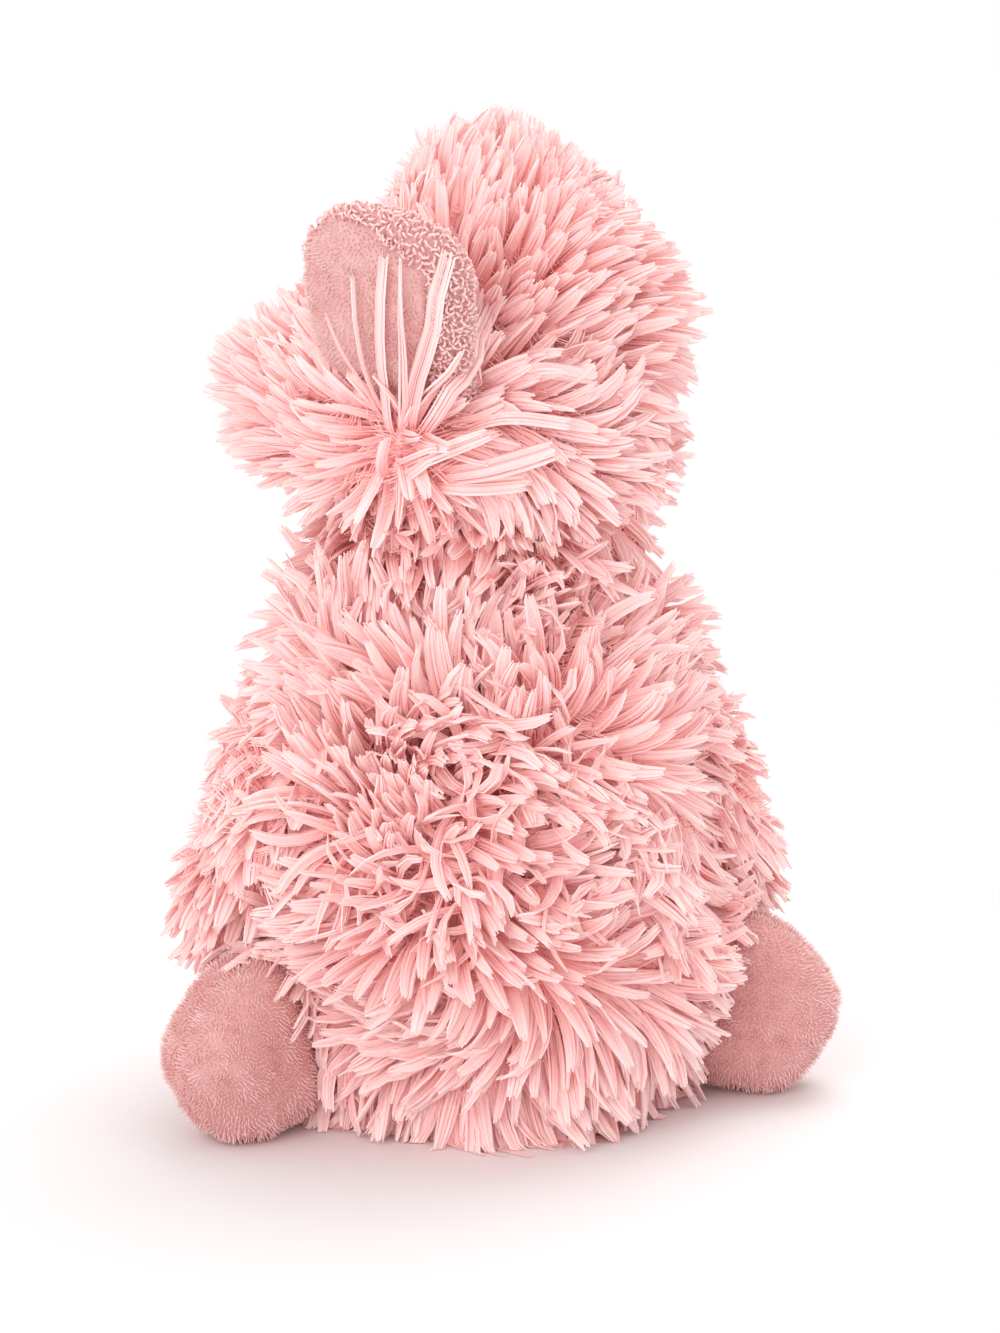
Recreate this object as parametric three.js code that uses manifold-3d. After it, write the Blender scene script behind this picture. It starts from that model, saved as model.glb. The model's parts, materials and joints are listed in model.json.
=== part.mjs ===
// Plush goose: a shaggy stuffed goose that sits upright, its head turned to its right and its bill raised.
// Millimetres, +Z up. The goose faces -Y, its left side is at +X, and the middle of its base is the origin.
import * as THREE from "three";
import { mergeVertices } from "three/addons/utils/BufferGeometryUtils.js";
import Module from "manifold-3d";

const wasm = await Module();
wasm.setup();

// Fabric and fit
const SEAM_GAP = 0.3; // between pieces that are sewn or pressed together
const LONG_PILE = 14; // shaggy fabric, from the stuffing to the mean of its tips
const HEAD_PILE = 12; // the same fabric, combed flatter
const NECK_PILE = 8;
const TAIL_PILE = 9;
const WING_PILE = 5;
const SHORT_PILE = 2; // bill and foot fabric
const BACKING = 1.2; // woven back of the shaggy fabric
const WING_LINING = 2.5;
const BASE_FABRIC = 2;

// Trunk, a round pear: radius of the shaggy surface at each height above the floor
const BASE_RADIUS = 35;
const RUMP_RADIUS = 42;
const RUMP_HEIGHT = 12;
const HAUNCH_RADIUS = 47;
const HAUNCH_HEIGHT = 32;
const BELLY_RADIUS = 50;
const BELLY_HEIGHT = 56;
const SHOULDER_RADIUS = 45;
const SHOULDER_HEIGHT = 94;
const TRUNK_TOP_RADIUS = 40;
const TRUNK_TOP = 118;
const BASE_PANEL_OVERLAP = 3; // seam allowance under the fabric that meets the base
const BASE_PANEL_RADIUS = BASE_RADIUS - LONG_PILE + BASE_PANEL_OVERLAP;
const BEAN_BAG_MARGIN = 2; // stuffing around the bag at the base
const BEAN_BAG_RADIUS = BASE_RADIUS - LONG_PILE - BEAN_BAG_MARGIN;
const BEAN_BAG_HEIGHT = 24;
const BEAN_BAG_ROUNDING = 8;

// Neck, a stuffed ball on which the head nods; a furry band goes around it
const NECK = new THREE.Vector3(0, 0, 124);
const NECK_STEP = 6; // from the furry shoulder in to the neck
const NECK_RADIUS = TRUNK_TOP_RADIUS - NECK_STEP;
const NECK_BAND = 18; // half the height of the furry band
const NECK_GAP = 0.95;

// Head, in its own frame: the face looks along -Y before the head is turned
const HEAD = new THREE.Vector3(-4, -2, 171);
const HEAD_TURN = THREE.MathUtils.degToRad(-39);
const HEAD_TILT = THREE.MathUtils.degToRad(10); // crown toward the goose's left
const SKULL = new THREE.Vector3(0, 5, 3);
const SKULL_HALF = new THREE.Vector3(40, 38, 38);
const CHEEKS = new THREE.Vector3(0, -8, -12);
const CHEEKS_HALF = new THREE.Vector3(45, 34, 28);

// Bill, in the head's frame: a flat paddle that curves upward
const BILL_ROOT = new THREE.Vector3(0, -14, -8);
const BILL_BEND = new THREE.Vector3(0, -46, -12);
const BILL_TIP = new THREE.Vector3(0, -57, 34);
const BILL_ROOT_HALF_WIDTH = 15;
const BILL_TIP_HALF_WIDTH = 20;
const BILL_ROOT_HALF_DEPTH = 9;
const BILL_TIP_HALF_DEPTH = 7;
const BILL_NOSE = 0.84; // share of the length after which the rim closes round the tip
const BILL_CLOSING = 0.3; // how it closes: 1 is pointed, 0 is square
const BILL_END = 0.02; // share of the tip that stays open as a flat end
const WHOLE_RIM = { from: 0, halfTurns: 2, seam: 0 };
const UPPER_RIM = { from: 0, halfTurns: 1, seam: SEAM_GAP / 2 };
const LOWER_RIM = { from: 1, halfTurns: 1, seam: -SEAM_GAP / 2 };

// Eyes, domes on shanks; the pile is clipped around them
const EYE_DIRECTION = new THREE.Vector3(0.76, 0.34, 0.55);
const EYE_RADIUS = 4.5;
const EYE_DOME = 3.6;
const CLIPPING_RADIUS = 18; // the clipped pile opens to this radius at this height
const CLIPPING_HEIGHT = 28;
const SHANK_RADIUS = 1.6;
const SHANK_LENGTH = 9;
const WASHER_RADIUS = 5;
const WASHER_THICKNESS = 1.5;
const WASHER_SEAT = 1.6; // below the fabric, which curves away under the washer

// Wings, furry lenses that lie along the flanks; shares of the flank's length from the base
const WING_TIP_ALONG = 0.495;
const WING_TOP_ALONG = 0.87;
const WING_LENGTH = 58;
const WING_GAP = 0.5;
const WING_SWEEP = 6; // how far back the tip lies
const WING_HALF_WIDTH = 22;
const WING_THICKNESS = 17;
const WING_OUTLINE = [0.42, 0.86, 1, 0.86, 0.5]; // share of the half width, from the tip to the shoulder
const WING_SWELL = [0.94, 1, 0.7, 0.53, 0.35]; // share of the thickness, likewise

// Feet, two-lobed paddles that stand on edge beside the belly
const FOOT = new THREE.Vector3(56, -13, 20);
const FOOT_SPLAY = THREE.MathUtils.degToRad(25); // forward from sideways
const FOOT_DROOP = THREE.MathUtils.degToRad(30);
const FOOT_HALF_LENGTH = 23;
const FOOT_HALF_WIDTH = 21;
const FOOT_HALF_DEPTH = 13;
const FOOT_LATITUDE = THREE.MathUtils.degToRad(76); // where its rounded rim gives way to a flat face
const FOOT_LOBES = 0.06; // height of the toe lobes as a share of the outline
const FOOT_WAVES = 5; // waves all round, which fade toward the heel
const FOOT_SWING = [-10, 8, 25].map(THREE.MathUtils.degToRad);
const FOOT_CLEARANCE = 1; // to the trunk while the foot swings
const HIP_REACH = 14; // from the middle of the foot to the hip
const HIP_RADIUS = 12.5;
const HIP_GAP = 0.9;

// Tail, a short stub that rises behind
const TAIL_ROOT = new THREE.Vector3(0, 40, 34);
const TAIL_RISE = THREE.MathUtils.degToRad(28);
const TAIL_LENGTH = 40;
const TAIL_RADIUS = 20;

// Fineness of the round forms: outer surfaces, and hidden inner ones
const TRUNK_SEGMENTS = { outer: 24, inner: 16 };
const TRUNK_RINGS = { outer: 8, inner: 6 };
const BALL_SEGMENTS = { outer: 20, inner: 14 };
const BALL_RINGS = { outer: 10, inner: 8 };
const HIP_SEGMENTS = { outer: 14, inner: 10 };
const HIP_RINGS = { outer: 7, inner: 5 };
const SMALL_SEGMENTS = { outer: 16, inner: 12 };
const SMALL_RINGS = { outer: 7, inner: 5 };

const THINNEST = 1; // least half size of an inner form where it tapers out
const OVERSHOOT = 1; // a cutting form reaches this far past a flat face
const BEYOND = 400; // larger than the whole toy
const UP = new THREE.Vector3(0, 0, 1);

const FABRICS = {
  fur: { color: 0xf3bebb, roughness: 0.95 },
  terry: { color: 0xeab8b5, roughness: 0.95 },
  short_pile: { color: 0xd3908d, roughness: 0.9 },
  bill_face: { color: 0xedb7b3, roughness: 0.9 },
  lining: { color: 0xe9aeab, roughness: 0.95 },
  stuffing: { color: 0xf4f1ec, roughness: 1 },
  pouch: { color: 0xe3dccf, roughness: 0.9 },
  eye: { color: 0x16110f, roughness: 0.12 },
  washer: { color: 0xeeeeea, roughness: 0.45 },
};

// Closed geometry with merged vertices, as a solid that can be cut
function toSolid(geometry) {
  const bare = geometry.clone();
  bare.deleteAttribute("normal");
  bare.deleteAttribute("uv");
  const merged = mergeVertices(bare);
  const triangles = [];
  for (let i = 0; i < merged.index.count; i += 3) {
    const corners = [0, 1, 2].map((k) => merged.index.getX(i + k));
    if (new Set(corners).size === 3) triangles.push(...corners);
  }
  const mesh = new wasm.Mesh({
    numProp: 3,
    vertProperties: new Float32Array(merged.attributes.position.array),
    triVerts: new Uint32Array(triangles),
  });
  return new wasm.Manifold(mesh);
}

function toGeometry(solid) {
  const mesh = solid.getMesh();
  const geometry = new THREE.BufferGeometry();
  geometry.setAttribute("position", new THREE.BufferAttribute(mesh.vertProperties, 3));
  geometry.setIndex(new THREE.BufferAttribute(mesh.triVerts, 1));
  geometry.computeVertexNormals();
  return geometry;
}

function piece(name, solid, fabric) {
  const material = new THREE.MeshStandardMaterial({ ...FABRICS[fabric], metalness: 0 });
  const mesh = new THREE.Mesh(toGeometry(solid), material);
  mesh.name = name;
  return mesh;
}

// Which fineness a form takes that lies this far inside its outer surface
function layer(inset) {
  return inset > 0 ? "inner" : "outer";
}

function ellipsoid(centre, half, inset, segments = BALL_SEGMENTS, rings = BALL_RINGS) {
  const ball = new THREE.SphereGeometry(1, segments[layer(inset)], rings[layer(inset)]);
  ball.rotateX(Math.PI / 2);
  ball.scale(half.x - inset, half.y - inset, half.z - inset);
  ball.translate(centre.x, centre.y, centre.z);
  return toSolid(ball);
}

function sphere(centre, radius, inset, segments, rings) {
  return ellipsoid(centre, new THREE.Vector3(radius, radius, radius), inset, segments, rings);
}

// Everything on one side of the plane through the origin, half a seam gap away from it
function halfSpace(direction, offset = SEAM_GAP / 2) {
  const box = new THREE.BoxGeometry(BEYOND, BEYOND, BEYOND);
  const middle = direction.clone().multiplyScalar(BEYOND / 2 + offset);
  box.translate(middle.x, middle.y, middle.z);
  return toSolid(box);
}

// A profile of radii and heights turned about the +Z axis
function turned(profile, segments) {
  const points = profile.map(([radius, height]) => new THREE.Vector2(radius, height));
  const lathe = new THREE.LatheGeometry(points, segments);
  lathe.rotateX(Math.PI / 2);
  return toSolid(lathe);
}

// A skin through rings of equal point count, closed by a flat fan at both ends
function loft(rings) {
  const count = rings[0].length;
  const last = (rings.length - 1) * count;
  const index = [];
  for (let i = 0; i < last; i += count) {
    for (let j = 0; j < count; j++) {
      const k = (j + 1) % count;
      index.push(i + j, i + k, i + count + k, i + j, i + count + k, i + count + j);
    }
  }
  for (let j = 1; j + 1 < count; j++) {
    index.push(0, j + 1, j, last, last + j, last + j + 1);
  }
  const geometry = new THREE.BufferGeometry().setFromPoints(rings.flat());
  geometry.setIndex(index);
  return toSolid(geometry);
}

function flank(inset) {
  const heights = [
    [BASE_RADIUS, 0],
    [RUMP_RADIUS, RUMP_HEIGHT],
    [HAUNCH_RADIUS, HAUNCH_HEIGHT],
    [BELLY_RADIUS, BELLY_HEIGHT],
    [SHOULDER_RADIUS, SHOULDER_HEIGHT],
    [TRUNK_TOP_RADIUS, TRUNK_TOP],
  ];
  const points = heights.map(([radius, height]) => new THREE.Vector2(radius - inset, height));
  return new THREE.SplineCurve(points);
}

// The trunk's form, smaller all round by the inset; overshoot makes it taller at both ends
function trunkForm(inset, overshoot = 0) {
  const side = flank(inset).getPoints(TRUNK_RINGS[layer(inset)]);
  const profile = side.map((point) => [point.x, point.y]);
  const [bottom, top] = [profile[0], profile[profile.length - 1]];
  if (overshoot > 0) {
    profile.unshift([bottom[0], -overshoot]);
    profile.push([top[0], TRUNK_TOP + overshoot]);
  }
  profile.unshift([0, -overshoot]);
  profile.push([0, TRUNK_TOP + overshoot]);
  return turned(profile, TRUNK_SEGMENTS[layer(inset)]);
}

function basePanel(clearance) {
  const radius = BASE_PANEL_RADIUS + clearance;
  const top = BASE_FABRIC + clearance;
  return turned([[0, -clearance], [radius, -clearance], [radius, top], [0, top]], TRUNK_SEGMENTS.outer);
}

function beanBag(clearance) {
  const floor = BASE_FABRIC + SEAM_GAP - clearance;
  const top = BASE_FABRIC + BEAN_BAG_HEIGHT + clearance;
  const radius = BEAN_BAG_RADIUS + clearance;
  const edge = radius - BEAN_BAG_ROUNDING;
  const side = new THREE.QuadraticBezierCurve(
    new THREE.Vector2(radius, (floor + top) / 2),
    new THREE.Vector2(radius, top),
    new THREE.Vector2(edge, top),
  );
  const crown = side.getPoints(SMALL_RINGS.inner).map((point) => [point.x, point.y]);
  return turned([[0, floor], [edge, floor], ...crown, [0, top]], TRUNK_SEGMENTS.inner);
}

// Foot frame: x along the toes, y up the outline, z out of the sole
function footFrame() {
  const outward = new THREE.Vector3(Math.cos(FOOT_SPLAY), -Math.sin(FOOT_SPLAY), 0);
  const level = outward.clone().cross(UP);
  const toes = outward.clone().applyAxisAngle(level, -FOOT_DROOP);
  const across = UP.clone().applyAxisAngle(level, -FOOT_DROOP);
  const frame = new THREE.Matrix4().makeBasis(toes, across, toes.clone().cross(across));
  return frame.setPosition(FOOT);
}

function hipCentre() {
  return new THREE.Vector3(-HIP_REACH, 0, 0).applyMatrix4(footFrame());
}

// Outline of the foot at one angle from the toes, with a lobe each side of the middle
function footOutline(angle, inset) {
  const length = FOOT_HALF_LENGTH - inset;
  const width = FOOT_HALF_WIDTH - inset;
  const toward = (1 + Math.cos(angle)) / 2;
  const lobes = 1 - FOOT_LOBES * toward * Math.cos(FOOT_WAVES * angle);
  return new THREE.Vector3(length * lobes * Math.cos(angle), width * lobes * Math.sin(angle), 0);
}

function footPaddle(inset) {
  const frame = footFrame();
  const segments = BALL_SEGMENTS[layer(inset)];
  const last = SMALL_RINGS[layer(inset)];
  const rings = [];
  for (let i = 0; i <= last; i++) {
    const latitude = THREE.MathUtils.lerp(-FOOT_LATITUDE, FOOT_LATITUDE, i / last);
    const size = Math.sqrt(Math.cos(latitude));
    const ring = [];
    for (let j = 0; j < segments; j++) {
      const point = footOutline(2 * Math.PI * j / segments, inset).multiplyScalar(size);
      point.z = (FOOT_HALF_DEPTH - inset) * Math.sin(latitude);
      ring.push(point.applyMatrix4(frame));
    }
    rings.push(ring);
  }
  return loft(rings);
}

// Room that the trunk takes while the foot swings about the hip
function footSweep(clearance) {
  const hip = hipCentre();
  const trunk = trunkForm(-clearance).translate([-hip.x, -hip.y, 0]);
  const turns = FOOT_SWING.map((angle) => trunk.rotate([0, 0, THREE.MathUtils.radToDeg(angle)]));
  return wasm.Manifold.union(turns).translate([hip.x, hip.y, 0]);
}

function footForm(inset) {
  const hip = sphere(hipCentre(), HIP_RADIUS, inset, HIP_SEGMENTS, HIP_RINGS);
  const paddle = footPaddle(inset).subtract(footSweep(FOOT_CLEARANCE + inset));
  return paddle.add(hip).intersect(halfSpace(UP, inset));
}

function footPieces() {
  const cover = footForm(0).subtract(footForm(SHORT_PILE));
  const frame = footFrame().elements;
  const sole = halfSpace(UP).transform(frame);
  const top = halfSpace(UP.clone().negate()).transform(frame);
  return [
    ["foot_sole_panel", cover.intersect(sole), "short_pile"],
    ["foot_top_panel", cover.intersect(top), "short_pile"],
    ["foot_filling", footForm(SHORT_PILE + SEAM_GAP), "stuffing"],
  ];
}

function hipSockets() {
  const left = sphere(hipCentre(), HIP_RADIUS, -HIP_GAP, HIP_SEGMENTS, HIP_RINGS);
  return left.add(left.mirror([1, 0, 0]));
}

// The wing's lens on the left flank; its inner half lies inside the trunk and is cut away
function wingForm(inset) {
  const trunkSide = flank(0);
  const shares = (list) => new THREE.SplineCurve(list.map((share, i) => new THREE.Vector2(i, share)));
  const widths = shares(WING_OUTLINE);
  const depths = shares(WING_SWELL);
  const margin = inset / WING_LENGTH;
  const segments = SMALL_SEGMENTS[layer(inset)];
  const last = SMALL_RINGS[layer(inset)];
  const rings = [];
  for (let i = 0; i <= last; i++) {
    const along = THREE.MathUtils.lerp(margin, 1 - margin, i / last);
    const side = trunkSide.getPoint(THREE.MathUtils.lerp(WING_TIP_ALONG, WING_TOP_ALONG, along));
    const middle = new THREE.Vector3(side.x, WING_SWEEP * (1 - along), side.y);
    const halfWidth = Math.max(WING_HALF_WIDTH * widths.getPoint(along).y - inset, THINNEST);
    const depth = Math.max(WING_THICKNESS * depths.getPoint(along).y - inset, THINNEST);
    const ring = [];
    for (let j = 0; j < segments; j++) {
      const angle = 2 * Math.PI * j / segments;
      const point = new THREE.Vector3(depth * Math.cos(angle), halfWidth * Math.sin(angle), 0);
      ring.push(point.add(middle));
    }
    rings.push(ring);
  }
  return loft(rings);
}

function wingPieces() {
  const liningFace = WING_GAP + WING_LINING;
  const form = wingForm(0);
  const lining = form.intersect(trunkForm(-liningFace)).subtract(trunkForm(-WING_GAP));
  const aboveLining = trunkForm(-liningFace - SEAM_GAP);
  const outer = form.subtract(aboveLining).subtract(wingForm(WING_PILE));
  const filling = wingForm(WING_PILE + SEAM_GAP).subtract(aboveLining);
  return [
    ["wing_outer_panel", outer, "fur"],
    ["wing_lining", lining, "lining"],
    ["wing_filling", filling, "stuffing"],
  ];
}

function trunkPieces() {
  const shell = trunkForm(0)
    .subtract(trunkForm(LONG_PILE, OVERSHOOT))
    .subtract(basePanel(SEAM_GAP))
    .subtract(sphere(NECK, NECK_RADIUS, -NECK_GAP))
    .subtract(hipSockets());
  const filling = trunkForm(LONG_PILE + SEAM_GAP)
    .intersect(halfSpace(UP, BASE_FABRIC + SEAM_GAP))
    .subtract(beanBag(SEAM_GAP))
    .subtract(sphere(NECK, NECK_RADIUS, -NECK_GAP))
    .subtract(hipSockets());
  const back = shell.intersect(halfSpace(new THREE.Vector3(0, 1, 0)));
  return [
    piece("belly_panel", shell.intersect(halfSpace(new THREE.Vector3(0, -1, 0))), "fur"),
    piece("back_left_panel", back.intersect(halfSpace(new THREE.Vector3(1, 0, 0))), "fur"),
    piece("back_right_panel", back.intersect(halfSpace(new THREE.Vector3(-1, 0, 0))), "fur"),
    piece("base_panel", basePanel(0), "short_pile"),
    piece("trunk_filling", filling, "stuffing"),
    piece("bean_bag", beanBag(0), "pouch"),
  ];
}

function tailForm(inset) {
  const side = new THREE.EllipseCurve(0, 0, TAIL_RADIUS - inset, TAIL_LENGTH - inset, 0, Math.PI / 2);
  const points = [new THREE.Vector2(0, 0), ...side.getPoints(SMALL_RINGS[layer(inset)])];
  points.at(-1).x = 0;
  const lathe = new THREE.LatheGeometry(points, SMALL_SEGMENTS[layer(inset)]);
  lathe.rotateX(TAIL_RISE);
  lathe.translate(TAIL_ROOT.x, TAIL_ROOT.y, TAIL_ROOT.z);
  return toSolid(lathe);
}

function tailPieces() {
  const trunk = trunkForm(-SEAM_GAP);
  return [
    piece("tail_cover", tailForm(0).subtract(tailForm(TAIL_PILE)).subtract(trunk), "fur"),
    piece("tail_filling", tailForm(TAIL_PILE + SEAM_GAP).subtract(trunk), "stuffing"),
  ];
}

function neckPieces() {
  const ball = sphere(NECK, NECK_RADIUS, 0);
  const band = (clearance) => halfSpace(UP, NECK.z - NECK_BAND - clearance)
    .intersect(halfSpace(UP.clone().negate(), -NECK.z - NECK_BAND - clearance))
    .subtract(sphere(NECK, NECK_RADIUS, NECK_PILE + clearance));
  return [
    piece("neck_cover", ball.intersect(band(0)), "fur"),
    piece("neck_filling", ball.subtract(band(SEAM_GAP)), "stuffing"),
  ];
}

function headForm(inset) {
  return ellipsoid(SKULL, SKULL_HALF, inset).add(ellipsoid(CHEEKS, CHEEKS_HALF, inset));
}

// Half width and half depth of the bill at a share of its length
function billSize(along, inset) {
  const nose = Math.max(0, (along - BILL_NOSE) / (1 - BILL_NOSE));
  const closing = Math.max(1 - nose * nose, BILL_END) ** BILL_CLOSING;
  const spread = Math.min(1, along / BILL_NOSE);
  const width = THREE.MathUtils.lerp(BILL_ROOT_HALF_WIDTH, BILL_TIP_HALF_WIDTH, spread);
  const depth = THREE.MathUtils.lerp(BILL_ROOT_HALF_DEPTH, BILL_TIP_HALF_DEPTH, along);
  return [width, depth].map((half) => Math.max(half * closing - inset, THINNEST));
}

// One section of the bill: the whole rim, or the half above or below the seam
function billSection(curve, along, inset, rim) {
  const [width, depth] = billSize(along, inset);
  const middle = curve.getPoint(along);
  const side = new THREE.Vector3(1, 0, 0);
  const normal = curve.getTangent(along).cross(side);
  const steps = SMALL_SEGMENTS[layer(inset)] / 2 * rim.halfTurns;
  const count = rim === WHOLE_RIM ? steps : steps + 1;
  const ring = [];
  for (let j = 0; j < count; j++) {
    const angle = Math.PI * (rim.from + rim.halfTurns * j / steps);
    const point = middle.clone().addScaledVector(side, width * Math.cos(angle));
    ring.push(point.addScaledVector(normal, depth * Math.sin(angle) + rim.seam));
  }
  return ring;
}

function billForm(inset, rim = WHOLE_RIM) {
  const curve = new THREE.QuadraticBezierCurve3(BILL_ROOT, BILL_BEND, BILL_TIP);
  const end = 1 - Math.max(inset, 0) / BILL_ROOT.distanceTo(BILL_TIP);
  const last = SMALL_RINGS[layer(inset)];
  const rings = [];
  for (let i = 0; i <= last; i++) {
    rings.push(billSection(curve, end * Math.sin(Math.PI / 2 * i / last), inset, rim));
  }
  return loft(rings);
}

// Frame of the eye on one side (1 left, -1 right): its Z axis leaves the head at the clipped backing
function eyeFrame(side) {
  const half = SKULL_HALF.clone().subScalar(HEAD_PILE);
  const direction = new THREE.Vector3(side * EYE_DIRECTION.x, EYE_DIRECTION.y, EYE_DIRECTION.z);
  const point = direction.divideScalar(direction.clone().divide(half).length());
  const normal = point.clone().divide(half).divide(half).normalize();
  const turn = new THREE.Quaternion().setFromUnitVectors(UP, normal);
  const seat = point.clone().add(SKULL).addScaledVector(normal, BACKING);
  return new THREE.Matrix4().compose(seat, turn, new THREE.Vector3(1, 1, 1));
}

function eyeForm() {
  const dome = new THREE.EllipseCurve(0, 0, EYE_RADIUS, EYE_DOME, 0, Math.PI / 2);
  const crown = dome.getPoints(SMALL_RINGS.inner).map((point) => [point.x, point.y]);
  crown.at(-1)[0] = 0;
  const shank = [[0, -SHANK_LENGTH], [SHANK_RADIUS, -SHANK_LENGTH], [SHANK_RADIUS, 0]];
  return turned([...shank, ...crown], SMALL_SEGMENTS.inner);
}

function washerForm() {
  const top = -BACKING - WASHER_SEAT;
  const bottom = top - WASHER_THICKNESS;
  const bore = SHANK_RADIUS + SEAM_GAP;
  const outer = [[WASHER_RADIUS, bottom], [WASHER_RADIUS, top]];
  return turned([[bore, bottom], ...outer, [bore, top], [bore, bottom]], SMALL_SEGMENTS.inner);
}

// Pile clipped around the eye, and the hole for its shank
function eyeClipping() {
  const seat = -SEAM_GAP;
  const foot = EYE_RADIUS + SEAM_GAP;
  const hole = SHANK_RADIUS + SEAM_GAP;
  const inside = -BACKING - WASHER_SEAT;
  const bore = [[0, inside], [hole, inside], [hole, seat]];
  const funnel = [[foot, seat], [CLIPPING_RADIUS, CLIPPING_HEIGHT], [0, CLIPPING_HEIGHT]];
  return turned([...bore, ...funnel], SMALL_SEGMENTS.inner);
}

// Room in the stuffing for the washer and the end of the shank
function eyeAnchorage() {
  const floor = -BACKING - WASHER_SEAT - WASHER_THICKNESS - SEAM_GAP;
  const end = -SHANK_LENGTH - SEAM_GAP;
  const hole = SHANK_RADIUS + SEAM_GAP;
  const rim = WASHER_RADIUS + SEAM_GAP;
  const shank = [[0, end], [hole, end], [hole, floor]];
  return turned([...shank, [rim, floor], [rim, BACKING], [0, BACKING]], SMALL_SEGMENTS.inner);
}

function headPieces(frame) {
  const neckInHead = NECK.clone().applyMatrix4(frame.clone().invert());
  const socket = sphere(neckInHead, NECK_RADIUS, -NECK_GAP);
  const eyes = [1, -1].map((side) => eyeFrame(side).elements);
  const cover = eyes.reduce(
    (shell, eye) => shell.subtract(eyeClipping().transform(eye)),
    headForm(0).subtract(headForm(HEAD_PILE)).subtract(socket).subtract(billForm(-SEAM_GAP)),
  );
  const filling = eyes.reduce(
    (core, eye) => core.subtract(eyeAnchorage().transform(eye)),
    headForm(HEAD_PILE + SEAM_GAP).subtract(socket),
  );
  const head = headForm(HEAD_PILE);
  const billCore = billForm(SHORT_PILE);
  const pieces = [
    piece("head_left_panel", cover.intersect(halfSpace(new THREE.Vector3(1, 0, 0))), "fur"),
    piece("head_right_panel", cover.intersect(halfSpace(new THREE.Vector3(-1, 0, 0))), "fur"),
    piece("head_filling", filling, "stuffing"),
    piece("bill_upper_panel", billForm(0, UPPER_RIM).subtract(billCore).subtract(head), "terry"),
    piece("bill_lower_panel", billForm(0, LOWER_RIM).subtract(billCore).subtract(head), "bill_face"),
    piece("bill_filling", billForm(SHORT_PILE + SEAM_GAP).subtract(head), "stuffing"),
  ];
  ["left", "right"].forEach((side, i) => {
    pieces.push(piece(`${side}_eye`, eyeForm().transform(eyes[i]), "eye"));
    pieces.push(piece(`${side}_eye_washer`, washerForm().transform(eyes[i]), "washer"));
  });
  return pieces;
}

function mirroredPair(pieces) {
  return pieces.flatMap(([name, solid, fabric]) => [
    piece(`left_${name}`, solid, fabric),
    piece(`right_${name}`, solid.mirror([1, 0, 0]), fabric),
  ]);
}

const goose = new THREE.Group();
goose.name = "plush_goose";
goose.add(...trunkPieces(), ...tailPieces(), ...neckPieces());
goose.add(...mirroredPair(wingPieces()), ...mirroredPair(footPieces()));

const head = new THREE.Group();
head.name = "head";
head.position.copy(HEAD);
head.rotation.set(0, HEAD_TILT, HEAD_TURN, "ZYX");
head.updateMatrix();
head.add(...headPieces(head.matrix));
goose.add(head);

export default goose;
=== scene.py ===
"""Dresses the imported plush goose: shaggy fur, padded feet and bill, glossy eyes, and a white studio."""

import itertools
import json
import math

import bmesh
import bpy
import numpy as np
from mathutils import Matrix, Vector
from mathutils.bvhtree import BVHTree

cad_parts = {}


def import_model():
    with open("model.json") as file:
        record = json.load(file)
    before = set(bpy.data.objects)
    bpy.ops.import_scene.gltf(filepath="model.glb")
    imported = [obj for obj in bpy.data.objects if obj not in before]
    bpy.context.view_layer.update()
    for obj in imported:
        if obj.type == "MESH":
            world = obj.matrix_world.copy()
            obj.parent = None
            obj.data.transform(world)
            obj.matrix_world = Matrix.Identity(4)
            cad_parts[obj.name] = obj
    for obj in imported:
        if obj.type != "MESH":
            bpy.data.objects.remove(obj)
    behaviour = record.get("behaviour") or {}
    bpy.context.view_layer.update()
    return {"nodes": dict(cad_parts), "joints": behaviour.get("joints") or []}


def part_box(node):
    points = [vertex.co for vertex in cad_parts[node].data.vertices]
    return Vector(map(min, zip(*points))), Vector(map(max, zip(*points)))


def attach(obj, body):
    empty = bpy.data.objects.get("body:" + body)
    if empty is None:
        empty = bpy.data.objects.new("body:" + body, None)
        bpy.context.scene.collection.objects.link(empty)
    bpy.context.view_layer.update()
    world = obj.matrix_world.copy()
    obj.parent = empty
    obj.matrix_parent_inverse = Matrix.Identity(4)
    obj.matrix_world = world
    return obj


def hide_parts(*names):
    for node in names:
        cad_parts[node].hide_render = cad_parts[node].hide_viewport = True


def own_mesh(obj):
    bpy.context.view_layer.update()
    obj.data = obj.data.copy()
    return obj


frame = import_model()
NODES = frame["nodes"]
JOINTS = {joint["name"]: joint for joint in frame["joints"]}
SIDES = {"left": 1, "right": -1}
MM = 0.001
UP = np.array([0.0, 0.0, 1.0])
TINY = 1e-9

# Photograph: viewing angle, distance and scale at the goose
PHOTO_WIDTH = 1000
PHOTO_HEIGHT = 1333
PIXEL = 0.22 * MM
VIEW_AZIMUTH = math.radians(-17)
VIEW_ELEVATION = math.radians(12.5)
VIEW_DISTANCE = 950 * MM
AIM_RIGHT = 3.3 * MM
AIM_HEIGHT = 97.6 * MM

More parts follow.
